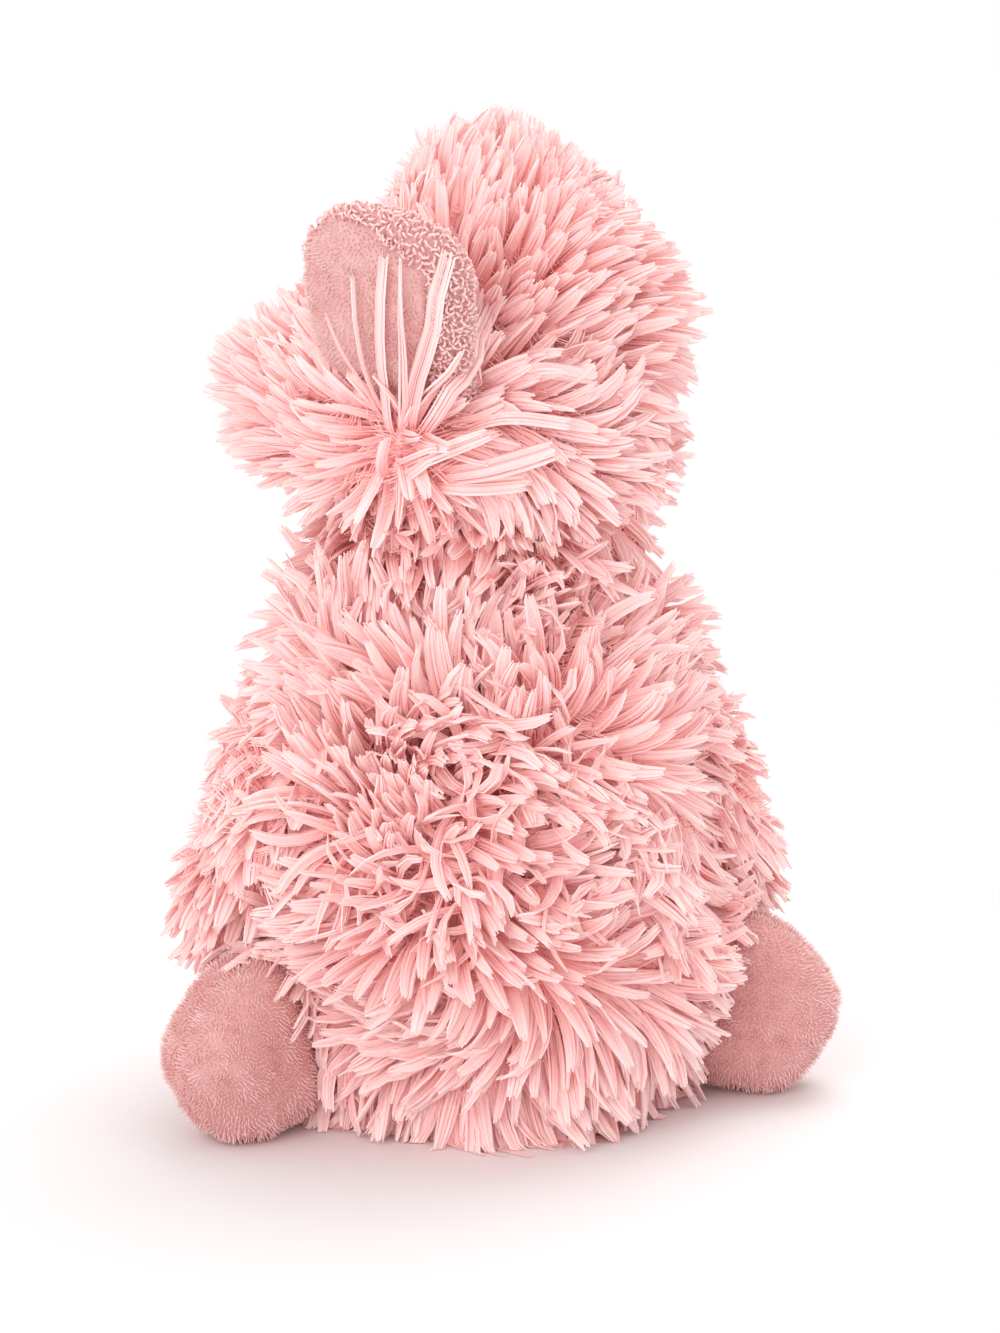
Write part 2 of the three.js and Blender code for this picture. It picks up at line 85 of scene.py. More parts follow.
# Photograph pixels: the whorls of the belly and face fur, then the root, bend, tip and width of single
# big ribbons, those that fan over the bill and those that sweep across the chin and the cheek
BELLY_PIXEL = (445, 830)
WHORL_PIXEL = (402, 432)
FAN_PIXELS = [
    ((396, 436), (384, 390), (384, 254), 0.8),
    ((402, 437), (404, 365), (401, 260), 0.7),
    ((408, 437), (416, 380), (449, 253), 1.4),
    ((402, 445), (425, 402), (463, 350), 0.9),
    ((418, 442), (462, 375), (500, 290), 1.0),
    ((397, 430), (358, 354), (353, 276), 0.25),
    ((393, 436), (355, 372), (325, 312), 0.25),
]
SWEEP_PIXELS = [
    ((400, 470), (436, 456), (488, 436), 1.2),
    ((430, 484), (478, 490), (530, 484), 1.3),
    ((443, 476), (500, 470), (555, 452), 1.2),
    ((388, 480), (382, 464), (388, 440), 0.8),
    ((404, 484), (412, 476), (430, 462), 0.7),
    ((500, 384), (545, 372), (596, 382), 1.3),
    ((470, 430), (520, 420), (570, 428), 0.9),
]

# Middle lines of the fur's locks: leans are shares of the lean that a coat asks for, waves the lengths
# over which the style of neighbouring locks changes
LOCK_POINTS = 6
LOCK_SPACING = 2.0 * MM
LOCK_LENGTH = 22 * MM
HEAD_LOCK_LENGTH = 17 * MM
TAIL_LOCK_LENGTH = 17 * MM
NECK_LOCK_LENGTH = 16 * MM
SOCKET_LOCK_LENGTH = 7 * MM
WING_LOCK_LENGTH = 11 * MM
WING_TIP_LENGTH = 17 * MM
LENGTH_SPREAD = (0.8, 1.08)
LEAN_WAVE = 26 * MM
LEAN_DRIFT = 0.15
ROOT_LEAN = 0.72
ROOT_LEAN_SPREAD = 0.08
ROOT_LEAN_LIMITS = (0.3, 1.1)
TIP_LEAN_SPREAD = 0.1
TIP_LEAN_LIMITS = (0.5, 1.3)
LEAN_GROWTH = 0.8  # power of the share along a lock
HOOKED = 0.08  # share of the locks whose tips hook over
HOOK_DEGREES = (30, 90)
HOOK_START = 0.6
CURL_DRIFT = 35  # degrees
CURL_SPREAD = 14
COMB_WAVE = 38 * MM
COMB_DRIFT = 0.4
COMB_SPREAD = 0.1
TANGENT_LIMITS = (0.6, 1)

# Rods that lie side by side in a lock: their places and ends in rod radii, their twist in radians
LOCK_RODS = 9
LOCK_RADIUS = 0.28 * MM
ROD_PITCH = 1.3
ROD_SCATTER = 0.2
LOCK_DEPTH = 1.6  # how far the rods lie behind each other
DEPTH_SCATTER = 0.45
ROD_ENDS = (-5.0, 0.5)
ROOT_TWIST = 0.4
TIP_TWIST = 0.7
SIZE_SPREAD = (0.75, 1.25)
RIB_SPREAD = (0.8, 1.2)
ROOT_SHARE = 0.85  # width at the root
LOCK_SPREAD = 0.3  # how much wider a lock gets along its length
LOCK_TAPER = 0.6  # how much it narrows at its tip
RIBBON_TAPER = 0.2
ROD_SWELL = 0.25  # how much thicker a rod gets along its length
ROD_POINT = 0.55  # thickness left at its end

# Underfur: loose single fibres
UNDER_LENGTH = 12 * MM
UNDER_SPACING = 1.8 * MM
UNDER_WAVE = 12 * MM
UNDER_LEAN = 50
UNDER_FIBRES = 4
UNDER_HALF_WIDTH = 1.6 * MM
FIBRE_RADIUS = 0.3 * MM
FIBRE_ROOT = 0.5  # half widths from their line
FIBRE_FAN = 0.7
FIBRE_BEND = 0.35
FIBRE_TAPER = 0.6

# Fibre meshes and what they keep clear of
ROD_SIDES = 3
UV_COLUMNS = 64
UV_EDGE = 0.01
UV_HALF_COLUMN = 0.45
UNDER_TIP = 0.7  # share of the root-to-tip colours that the underfur has, so it keeps the darker end with the painted shade of the roots
STEEP = 0.8
TRIES_PER_POINT = 6
OBLIQUE = Vector((0.48, 0.6, 0.64))
RAY_STEP = 0.01 * MM
SEARCH_MARGINS = 4
SEARCH_REACH = 15 * MM
FLOOR_CLEARANCE = 0.4 * MM
FLOOR_BEND = 12 * MM

# Furry coats: the room around them and where their style changes
BASE_MARGIN = 0.4 * MM
CROWN_DROP = 4 * MM  # how much lower the underlayer lies at the crown
NECK_MARGIN = 1 * MM
NECK_BAND = (-19 * MM, 33 * MM)  # heights above the neck's centre
SOCKET_RANGE = (15 * MM, 22 * MM)
NECK_SPLIT = 8 * MM
FOOT_MARGIN = 2.2 * MM
PRESS_MARGIN = 2.5 * MM
HIP_CLEARING = 13 * MM
WING_REACH = 22 * MM  # from the trunk's underlayer to a wing that covers it
LINING_SHARE = 0.84  # width of the satin inside the furry edge of the wing
LINING_REACH = 1.5 * MM  # beyond the wing's stuffing

# Style of the coats: leans in degrees, and where and by what share it changes
TRUNK_LEAN = 72
COVERED_LEAN = 80
COVERED_SHARE = 0.85  # length under a wing
BELLY_WHORL = 15 * MM
BACK_RANGE = (-0.2, 0.5)
BACK_FALL = 0.9
FRONT_FALL = 0.1
SHOULDER_RANGE = (0.7, 0.85)
SHOULDER_GROWTH = (-0.35, 0.1)  # at the goose's left and right
UNDERSIDE_SLOPE = -0.75
UNDERSIDE_HEIGHT = 8 * MM
HEAD_LEAN = 70
CROWN_LEAN = 22
NAPE_LEAN = 12
OUTER_LIFT = 8
FACE_WHORL = 8 * MM
FACE_RANGE = (20 * MM, 60 * MM)
CROWN_RISE = (16 * MM, 28 * MM)
CROWN_SIDE = (4 * MM, 18 * MM)
CROWN_SWEEP = 1.2
CROWN_CUT = 0.6
CHIN_DROP = 12 * MM
CHIN_SIDE = (-4 * MM, 8 * MM)
CHIN_SWEEP = 0.9
NAPE_RISE = (0.3, 0.8)
NAPE_SIDE = (0, 0.5)
NAPE_CUT = 0.3
EYE_RANGE = (5 * MM, 16 * MM)
EYE_CUT = 0.5
NECK_LEAN = 60
NECK_FALL = 0.5
SOCKET_LEAN = 20
SOCKET_CUT = 0.6
WING_LEAN = 68
WING_EDGE = (0.5, 0.95)
WING_TIP = 0.5
TIP_LIFT = 18
TAIL_LEAN = 56
TAIL_COMB = np.array([0, 0.8, 0.5])

# Belly curls and ribbons
BELLY_SPACING = 2.8 * MM
BELLY_AREA = (10 * MM, 42 * MM)
BELLY_RISE = 4 * MM
BELLY_LENGTH = 20 * MM
BELLY_LEAN = 76
BELLY_DEGREES = (50, 130)
RIBBON_POINTS = 10
RIBBON_BEND = 0.35
RIBBON_LIFT = 3 * MM

# Padded pieces and their short pile
PUFF_PRESSURE = 4
PUFF_STEPS = 20
PUFF_CAP = 1.2 * MM
PUFF_ROOM = -0.8 * MM  # drawn in before the puffing
OUTLINE_BINS = 60
OUTLINE_WAVES = 3  # kept as they are
PILE_RADIUS = 0.27 * MM
PILE_TAPER = np.array([1.0, 0.3])
PILE_ROOT = 0.2 * MM
PILE_SPREAD = (0.75, 1.15)
NAP_LEAN = 0.3
CLUMP_LEAN = 0.4
CLUMP_WAVE = 5 * MM
CLUMP_WAVES = 24

# Bill: where its pile starts past the seam, and the terry loops, which fold over the rim
PILE_START = 0.5 * MM
TERRY_END = 0.3 * MM
TERRY_RIM = 1.5 * MM
TERRY_FOLD = 6 * MM
TERRY_FOLD_RANGE = (-16 * MM, 8 * MM)  # across the bill
CURL_SPACING = 0.9 * MM
CURL_HEIGHT = 1.4 * MM
CURL_REACH = 0.6 * MM
CURL_SWAY = 0.7
CURL_RADIUS = 0.26 * MM
CURL_POINTS = 7
CURL_SIDES = 4
CURL_SIZES = (0.7, 1.25)

# Eyes: the turned profile, and the well in the fur around it
EYE_SEGMENTS = 40
EYE_RINGS = 14
EYE_POLE = 0.02 * MM
FLANGE = 0.5 * MM
FLANGE_EDGE = 0.1 * MM
FLANGE_SHARE = 0.88
NEAR_WIDEST = 0.97
SHANK_END = 0.1 * MM
EYE_CLEARING = 5.4 * MM
EYE_OPENING = 0.4  # how much wider the parting around an eye gets per length along its axis
EYE_DEPTH = 6 * MM  # behind the flange
EYE_SIDE = 10 * MM  # behind the flange, where the other side of the head begins
EYE_ROOTS = 5.5 * MM  # where the first fur grows
WELL_DEPTH = 9 * MM
WELL_FLOOR = 4 * MM
WELL_RIM = 17 * MM
WELL_SEAT = 0.2 * MM


def srgb(red, green, blue):
    """Linear colour of an 8-bit screen colour."""
    channels = [value / 255 for value in (red, green, blue)]
    linear = [c / 12.92 if c <= 0.04045 else ((c + 0.055) / 1.055) ** 2.4 for c in channels]
    return (*linear, 1.0)


def unit(vectors):
    return vectors / np.maximum(np.linalg.norm(vectors, axis=-1, keepdims=True), TINY)


def lengths_of(vectors):
    return np.linalg.norm(vectors, axis=-1)


def eased(values, low, high):
    """0 below low, 1 above high, and a smooth rise between."""
    share = np.clip((values - low) / (high - low), 0, 1)
    return share * share * (3 - 2 * share)


# Camera


def camera_axes():
    right = np.array([math.cos(VIEW_AZIMUTH), math.sin(VIEW_AZIMUTH), 0])
    level = np.array([math.sin(VIEW_AZIMUTH), -math.cos(VIEW_AZIMUTH), 0])
    back = level * math.cos(VIEW_ELEVATION) + UP * math.sin(VIEW_ELEVATION)
    return right, np.cross(back, right), back


def camera_place():
    right, _, back = camera_axes()
    return right * AIM_RIGHT + UP * AIM_HEIGHT + back * VIEW_DISTANCE


def photo_camera():
    data = bpy.data.cameras.new("photo_camera")
    data.sensor_fit = "VERTICAL"
    data.lens = data.sensor_height * VIEW_DISTANCE / (PHOTO_HEIGHT * PIXEL)
    camera = new_object("photo_camera", data)
    camera.location = camera_place()
    camera.rotation_euler = Vector(-camera_axes()[2]).to_track_quat("-Z", "Y").to_euler()
    bpy.context.scene.camera = camera


def seen_at(tree, pixel):
    """The surface point under a pixel of the photograph and its normal, or None."""
    right, up, back = camera_axes()
    across = (pixel[0] - PHOTO_WIDTH / 2) * PIXEL
    above = (PHOTO_HEIGHT / 2 - pixel[1]) * PIXEL
    ray = unit(right * across + up * above - back * VIEW_DISTANCE)
    hit, normal, _, _ = tree.ray_cast(Vector(camera_place()), Vector(ray))
    return None if hit is None else (np.array(hit), np.array(normal))


# Objects and meshes


def new_object(name, data):
    obj = bpy.data.objects.new(name, data)
    bpy.context.scene.collection.objects.link(obj)
    return obj


def object_from(name, bm):
    mesh = bpy.data.meshes.new(name)
    bm.to_mesh(mesh)
    bm.free()
    return new_object(name, mesh)


def apply_modifiers(obj):
    graph = bpy.context.evaluated_depsgraph_get()
    mesh = bpy.data.meshes.new_from_object(obj.evaluated_get(graph))
    obj.modifiers.clear()
    old = obj.data
    obj.data = mesh
    bpy.data.meshes.remove(old)
    mesh.name = obj.name
    mesh.shade_smooth()


def even_skin(name, nodes, voxel, smoothing, grow):
    """One smooth closed skin around CAD solids, grown outward a little, or drawn in."""
    joined = bmesh.new()
    for node in nodes:
        joined.from_mesh(NODES[node].data)
    obj = object_from(name, joined)
    remesh = obj.modifiers.new("even", "REMESH")
    remesh.mode = "VOXEL"
    remesh.voxel_size = voxel
    smooth = obj.modifiers.new("smooth", "SMOOTH")
    smooth.iterations = smoothing
    displace = obj.modifiers.new("grow", "DISPLACE")
    displace.strength = grow
    displace.mid_level = 0
    apply_modifiers(obj)
    return obj


def places_of(mesh, attribute="vertices", field="co"):
    values = np.zeros(len(mesh.vertices) * 3, np.float32)
    getattr(mesh, attribute).foreach_get(field, values)
    return values.reshape(-1, 3).astype(float)


def puff(obj, cap):
    """Swells a closed skin by cloth pressure, each point by no more than the cap."""
    before = places_of(obj.data)
    cloth = obj.modifiers.new("puff", "CLOTH")
    cloth.settings.use_pressure = True
    cloth.settings.uniform_pressure_force = PUFF_PRESSURE
    cloth.settings.effector_weights.gravity = 0
    for step in range(1, PUFF_STEPS + 1):
        bpy.context.scene.frame_set(step)
    graph = bpy.context.evaluated_depsgraph_get()
    moved = places_of(obj.evaluated_get(graph).data) - before
    distance = lengths_of(moved)[:, None]
    obj.modifiers.clear()
    bpy.context.scene.frame_set(1)
    set_places(obj.data, before + moved * np.minimum(1, cap / np.maximum(distance, TINY)))


def tree_of(mesh):
    bm = bmesh.new()
    bm.from_mesh(mesh)
    bmesh.ops.triangulate(bm, faces=bm.faces)
    tree = BVHTree.FromBMesh(bm)
    bm.free()
    return tree


def distances(points, tree):
    return np.array([tree.find_nearest(Vector(point))[3] for point in points])


def set_places(mesh, places):
    mesh.vertices.foreach_set("co", places.astype(np.float32).reshape(-1))
    mesh.update()


def sink(obj, away, depth, width):
    """Pulls the skin in along the line where away is nothing."""
    normals = places_of(obj.data, "vertex_normals", "vector")
    pull = depth * np.exp(-((away / width) ** 2))
    set_places(obj.data, places_of(obj.data) - normals * pull[:, None])


def sink_seam(obj, nodes, depth, width):
    """Pulls the skin in along the line where two sewn panels meet."""
    places = places_of(obj.data)
    away = [distances(places, tree_of(NODES[node].data)) for node in nodes]
    sink(obj, np.max(away, axis=0), depth, width)


def round_outline(obj, share):
    """Fills the outline of a flat pad between its lobes; share says how much of each dent goes."""
    places = places_of(obj.data)
    middle = places.mean(axis=0)
    axes = np.linalg.svd(places - middle, full_matrices=False)[2]
    flat = (places - middle) @ axes.T
    turn = np.arctan2(flat[:, 1], flat[:, 0])
    reach = np.hypot(flat[:, 0], flat[:, 1])
    bins = np.linspace(-math.pi, math.pi, OUTLINE_BINS + 1)
    outline = np.array([reach[(turn >= a) & (turn <= b)].max() for a, b in zip(bins, bins[1:])])
    waves = np.fft.rfft(outline)
    waves[OUTLINE_WAVES:] *= 1 - share
    wanted = np.fft.irfft(waves, len(outline))
    centres = (bins[:-1] + bins[1:]) / 2
    flat[:, :2] *= np.interp(turn, centres, wanted / outline, period=2 * math.pi)[:, None]
    set_places(obj.data, middle + flat @ axes)


def centre_of(*nodes):
    low = np.min([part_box(node)[0] for node in nodes], axis=0)
    high = np.max([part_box(node)[1] for node in nodes], axis=0)
    return (low + high) / 2


# Where fibres grow


def surface_points(mesh, spacing, rng):
    """Seeded points all over a mesh, no two closer than the spacing, with their smooth normals."""
    mesh.calc_loop_triangles()
    corners = np.zeros(len(mesh.loop_triangles) * 3, np.int32)
    mesh.loop_triangles.foreach_get("vertices", corners)
    corners = corners.reshape(-1, 3)
    places = places_of(mesh)
    normals = places_of(mesh, "vertex_normals", "vector")
    a, b, c = (places[corners[:, k]] for k in range(3))
    areas = lengths_of(np.cross(b - a, c - a)) / 2
    tries = int(TRIES_PER_POINT * areas.sum() / spacing**2)
    chosen = rng.choice(len(areas), tries, p=areas / areas.sum())
    weights = rng.dirichlet((1, 1, 1), tries)
    points = np.einsum("nk,nkd->nd", weights, places[corners[chosen]])
    directions = unit(np.einsum("nk,nkd->nd", weights, normals[corners[chosen]]))
    kept = []
    grid = {}
    around = list(itertools.product((-1, 0, 1), repeat=3))
    cells = np.floor(points / spacing).astype(int)
    for i, cell in enumerate(map(tuple, cells)):
        x, y, z = cell
        near = (j for dx, dy, dz in around for j in grid.get((x + dx, y + dy, z + dz), ()))
        if all(np.dot(points[i] - points[j], points[i] - points[j]) >= spacing**2 for j in near):
            grid.setdefault(cell, []).append(i)
            kept.append(i)
    return points[kept], directions[kept]


def roots_on(skin, spacing, keep, rng):
    """The surface points of a piece that keep lets through."""
    points, normals = surface_points(skin.data, spacing, rng)
    chosen = keep(points, normals)
    return points[chosen], normals[chosen]


def swirl(points, rng, wavelength, waves=10):
    """A smooth seeded vector field at the points, which makes neighbouring fibres lie alike."""
    turns = rng.normal(size=(waves, 3)) * 2 * math.pi / wavelength / math.sqrt(3)
    phases = rng.uniform(0, 2 * math.pi, waves)
    sizes = rng.normal(size=(waves, 3)) / math.sqrt(waves / 2)
    return np.sin(points @ turns.T + phases) @ sizes


def lock_guides(points, normals, comb, lengths, leans, rng, curls=0):
    """Middle lines of the locks: each leaves its root near the normal and leans over toward the comb."""
    count = len(points)
    along = unit(comb - normals * np.sum(comb * normals, axis=1, keepdims=True))
    across = np.cross(normals, along)
    lengths = lengths * rng.uniform(*LENGTH_SPREAD, count)
    drift = swirl(points, rng, LEAN_WAVE)
    root = ROOT_LEAN + LEAN_DRIFT * drift[:, 0] + rng.normal(0, ROOT_LEAN_SPREAD, count)
    start = np.radians(leans) * np.clip(root, *ROOT_LEAN_LIMITS)
    tip = 1.0 + LEAN_DRIFT * drift[:, 1] + rng.normal(0, TIP_LEAN_SPREAD, count)
    finish = np.radians(leans) * np.clip(tip, *TIP_LEAN_LIMITS)
    hook = np.where(rng.random(count) < HOOKED, np.radians(rng.uniform(*HOOK_DEGREES, count)), 0)
    curl = np.radians(curls + CURL_DRIFT * drift[:, 2] + rng.normal(0, CURL_SPREAD, count))
    line = [points]
    for share in np.linspace(0, 1, LOCK_POINTS)[1:]:
        bent = max(0, share - HOOK_START) / (1 - HOOK_START)
        tilt = start + (finish - start) * share**LEAN_GROWTH + hook * bent
        turn = curl * share
        flat = along * np.cos(turn)[:, None] + across * np.sin(turn)[:, None]
        step = normals * np.cos(tilt)[:, None] + flat * np.sin(tilt)[:, None]
        line.append(line[-1] + step * (lengths / (LOCK_POINTS - 1))[:, None])
    return np.stack(line, axis=1), across


def is_inside(tree, point):
    """Whether a point lies in a closed skin: a ray from it then meets an odd number of faces."""
    inside = False
    hit = tree.ray_cast(point, OBLIQUE)[0]
    while hit is not None:
        inside = not inside
        hit = tree.ray_cast(hit + OBLIQUE * RAY_STEP, OBLIQUE)[0]
    return inside


def keep_outside(guides, tree, margin):
    """Lifts the lines off a neighbouring padded piece; their roots stay."""
    reach = SEARCH_MARGINS * margin + SEARCH_REACH
    for line in guides:
        for i in range(1, len(line)):
            point = Vector(line[i])
            near, normal, _, distance = tree.find_nearest(point, reach)
            if near is None:
                continue
            if is_inside(tree, point):
                line[i] = near + normal * margin
            elif distance < margin:
                line[i] = near + (point - near).normalized() * margin
    return guides


def keep_above_floor(places):
    """Bends what would pass through the floor so that it lies just above it."""
    height = places[..., 2]
    bent = FLOOR_CLEARANCE * np.exp(np.minimum(height - FLOOR_CLEARANCE, 0) / FLOOR_BEND)
    places[..., 2] = np.where(height < FLOOR_CLEARANCE, bent, height)
    return places


# Fibre geometry


def ring_angles(sides):
    return np.arange(sides) * 2 * math.pi / sides


def lock_strands(guides, across, rng, size, taper):
    """Rings of points around the rods of each lock, which lie side by side and draw in at the tip."""
    count, points = guides.shape[:2]
    shares = np.linspace(0, 1, points)
    ahead = unit(np.gradient(guides, axis=1))
    side = unit(across[:, None] - ahead * np.sum(across[:, None] * ahead, axis=-1, keepdims=True))
    out = np.cross(ahead, side)
    twist = rng.normal(0, ROOT_TWIST, (count, 1)) + rng.normal(0, TIP_TWIST, (count, 1)) * shares
    wide = side * np.cos(twist)[..., None] + out * np.sin(twist)[..., None]
    thick = np.cross(ahead, wide)
    rods = (count, LOCK_RODS)
    size = size * rng.uniform(*SIZE_SPREAD, (count, 1))
    radius = size * LOCK_RADIUS * rng.uniform(*SIZE_SPREAD, rods)
    row = (np.arange(LOCK_RODS) - (LOCK_RODS - 1) / 2) * ROD_PITCH + rng.normal(0, ROD_SCATTER, rods)
    depth = rng.normal(0, DEPTH_SCATTER, rods)
    gather = (ROOT_SHARE + LOCK_SPREAD * shares - taper * shares**3)[None, None, :]
    lateral = (row * size * LOCK_RADIUS)[..., None] * gather
    behind = (depth * size * LOCK_RADIUS * LOCK_DEPTH)[..., None] * gather
    middle = guides[:, None] + wide[:, None] * lateral[..., None] + thick[:, None] * behind[..., None]
    swell = radius[..., None] * (ROOT_SHARE + ROD_SWELL * shares)
    swell[..., -1] *= ROD_POINT
    turns = ring_angles(ROD_SIDES) + rng.uniform(0, 2 * math.pi, (*rods, 1, 1))
    ribs = rng.uniform(*RIB_SPREAD, (*rods, 1, ROD_SIDES)) * swell[..., None]
    arms = wide[:, None, :, None] * np.cos(turns)[..., None]
    arms = arms + thick[:, None, :, None] * np.sin(turns)[..., None]
    rings = middle[..., None, :] + arms * ribs[..., None]
    reach = rng.uniform(*ROD_ENDS, (*rods, 1, 1)) * LOCK_RADIUS
    rings[:, :, -1] += ahead[:, None, -1, None] * reach
    return rings.reshape(-1, points, ROD_SIDES, 3)


def fibre_strands(guides, across, rng, fibres, half_width):
    """Rings of points around loose fine fibres beside each line."""
    count, points = guides.shape[:2]
    shares = np.linspace(0, 1, points)[:, None]
    spread = (FIBRE_ROOT + FIBRE_FAN * shares) * half_width
    aside = rng.uniform(-1, 1, (count, fibres, 1, 1)) * spread
    bend = rng.normal(0, FIBRE_BEND, (count, fibres, 1, 3)) * shares**2 * half_width
    lines = guides[:, None] + across[:, None, None] * aside + bend
    radii = FIBRE_RADIUS * (1 - FIBRE_TAPER * shares[:, 0] ** 2)
    return round_strands(lines.reshape(-1, points, 3), radii, ROD_SIDES)


def round_strands(lines, radii, sides):
    """Rings of points around plain thin fibres that follow the lines."""
    ahead = unit(np.gradient(lines, axis=1))
    helper = np.where(np.abs(ahead[:, :1, 2:]) < STEEP, UP, np.array([1.0, 0, 0]))
    side = unit(np.cross(ahead, helper))
    out = np.cross(ahead, side)
    angles = ring_angles(sides)
    arms = side[:, :, None] * np.cos(angles)[:, None] + out[:, :, None] * np.sin(angles)[:, None]
    return lines[:, :, None] + arms * radii[None, :, None, None]


def strands_mesh(name, strands, rng, tip):
    """One mesh of strands with closed tips; its UV map runs along each strand, in columns."""
    count, points, sides = strands.shape[:3]
    places = strands.reshape(-1, 3).astype(np.float32)
    corners = np.arange(len(places)).reshape(count, points, sides)
    following = np.roll(corners, -1, axis=2)
    quads = [corners[:, :-1], following[:, :-1], following[:, 1:], corners[:, 1:]]
    loops = np.concatenate([np.stack(quads, axis=-1).reshape(-1), corners[:, -1].reshape(-1)])
    loops = loops.astype(np.int32)
    sizes = np.repeat([4, sides], [quads[0].size, count]).astype(np.int32)
    starts = (np.cumsum(sizes) - sizes).astype(np.int32)
    mesh = bpy.data.meshes.new(name)
    mesh.vertices.add(len(places))
    mesh.vertices.foreach_set("co", places.reshape(-1))
    mesh.loops.add(len(loops))
    mesh.loops.foreach_set("vertex_index", loops)
    mesh.polygons.add(len(starts))
    mesh.polygons.foreach_set("loop_start", starts)
    mesh.polygons.foreach_set("loop_total", sizes)
    column = rng.integers(0, UV_COLUMNS, count)[:, None, None]
    coordinates = np.empty((count, points, sides, 2), np.float32)
    coordinates[..., 0] = (column + 0.5 + UV_HALF_COLUMN * np.cos(ring_angles(sides))) / UV_COLUMNS
    coordinates[..., 1] = np.linspace(UV_EDGE, tip, points)[:, None]
    layer = mesh.uv_layers.new(name="OFBake")
    layer.data.foreach_set("uv", coordinates.reshape(-1, 2)[loops].reshape(-1))
    mesh.shade_flat()
    mesh.update()
    mesh.validate()
    return mesh


# Materials


def node_material(name):
    material = bpy.data.materials.new(name)
    material.use_nodes = True
    return material, material.node_tree


def fill_in(node, values):
    for name, value in values.items():
        node.inputs[name].default_value = value
    return node


def add(tree, kind, sources=(), values=()):
    """A new shader node; its inputs come from output sockets of other nodes or are plain values."""
    node = tree.nodes.new(f"ShaderNode{kind}")
    for name, source in dict(sources).items():
        tree.links.new(source, node.inputs[name])
    return fill_in(node, dict(values))


def shade_by(tree, value, stops):
    """Gives the shader's colour by a value that runs through stops of 8-bit colours."""
    ramp = add(tree, "ValToRGB", {"Fac": value})
    elements = ramp.color_ramp.elements
    while len(elements) < len(stops):
        elements.new(0.5)
    for element, (position, colour) in zip(elements, stops):
        element.position = position
        element.color = srgb(*colour)
    tree.links.new(ramp.outputs["Color"], tree.nodes["Principled BSDF"].inputs["Base Color"])


def fibre_material(name, stops, streaks, contrast):
    """Fibres coloured from root to tip, darker where they leave the cloth as painted shade, with fine streaks
    along them and some strands paler than others.
    """
    material, tree = node_material(name)
    fill_in(tree.nodes["Principled BSDF"], {"Roughness": 0.7, "Specular IOR Level": 0.12})
    coordinates = add(tree, "UVMap")
    coordinates.uv_map = "OFBake"
    uv = {"Vector": coordinates.outputs["UV"]}
    split = add(tree, "SeparateXYZ", uv)
    stretch = add(tree, "Mapping", uv, {"Scale": (UV_COLUMNS * streaks, 3.0, 1.0)})
    streak = add(tree, "TexNoise", {"Vector": stretch.outputs["Vector"]}, {"Scale": 1.0, "Detail": 3.0})
    limits = {"From Min": 0.25, "From Max": 0.75, "To Min": -contrast, "To Max": contrast}
    vary = add(tree, "MapRange", {"Value": streak.outputs["Fac"]}, limits)
    depth = add(tree, "Math", {0: split.outputs["Y"], 1: vary.outputs["Result"]})
    depth.operation = "ADD"
    shade_by(tree, depth.outputs["Value"], stops)
    return material


def cloth_material(name, colour, pale, scale, bump=0.3):
    """Short napped cloth: fine streaky nap, soft sheen toward its rims."""
    material, tree = node_material(name)
    sheen = {"Sheen Weight": 0.5, "Sheen Roughness": 0.35, "Sheen Tint": srgb(255, 222, 218)}
    shader = fill_in(tree.nodes["Principled BSDF"], {"Roughness": 0.85, "Specular IOR Level": 0.2, **sheen})
    spot = {"Vector": add(tree, "TexCoord").outputs["Object"]}
    nap = add(tree, "TexNoise", spot, {"Scale": scale, "Detail": 4.0, "Distortion": 1.2}).outputs["Fac"]
    shade_by(tree, nap, [(0.3, colour), (0.72, pale)])
    relief = add(tree, "Bump", {"Height": nap}, {"Strength": bump, "Distance": 0.3 * MM})
    tree.links.new(relief.outputs["Normal"], shader.inputs["Normal"])
    return material


def plastic_material(name, colour, pale, roughness, coat):
    """Moulded plastic with faint flow marks."""
    material, tree = node_material(name)
    shader = fill_in(tree.nodes["Principled BSDF"], {"Coat Weight": coat, "Coat Roughness": 0.05})
    spot = {"Vector": add(tree, "TexCoord").outputs["Object"]}
    flow = add(tree, "TexNoise", spot, {"Scale": 700, "Detail": 3}).outputs["Fac"]
    shade_by(tree, flow, [(0.35, colour), (0.65, pale)])
    limits = {"To Min": roughness * 0.8, "To Max": roughness * 1.3}
    rough = add(tree, "MapRange", {"Value": flow}, limits)
    tree.links.new(rough.outputs["Result"], shader.inputs["Roughness"])
    return material


def paint(obj, material):
    obj.data.materials.clear()
    obj.data.materials.append(material)
    return obj


# Long fur from root to tip: the deeper pink toward the roots is painted shade deep in the fur; the pale tips
# are the locks' own pale ends.
FUR_STOPS = [(0.0, (255, 211, 209)), (0.4, (255, 217, 215)), (0.75, (255, 224, 222)), (1.0, (255, 231, 229))]
# Foot pile: darker toward the roots as painted shade inside the pile, and pale tips as a painted sheen where
# the rims show the pile from the side.
FOOT_STOPS = [(0.0, (218, 165, 162)), (0.5, (235, 194, 191)), (1.0, (252, 227, 224))]
# Bill pile: darker toward the roots as painted shade inside the pile, paler at the tips.
BILL_STOPS = [(0.0, (226, 180, 177)), (0.6, (232, 194, 191)), (1.0, (242, 214, 211))]
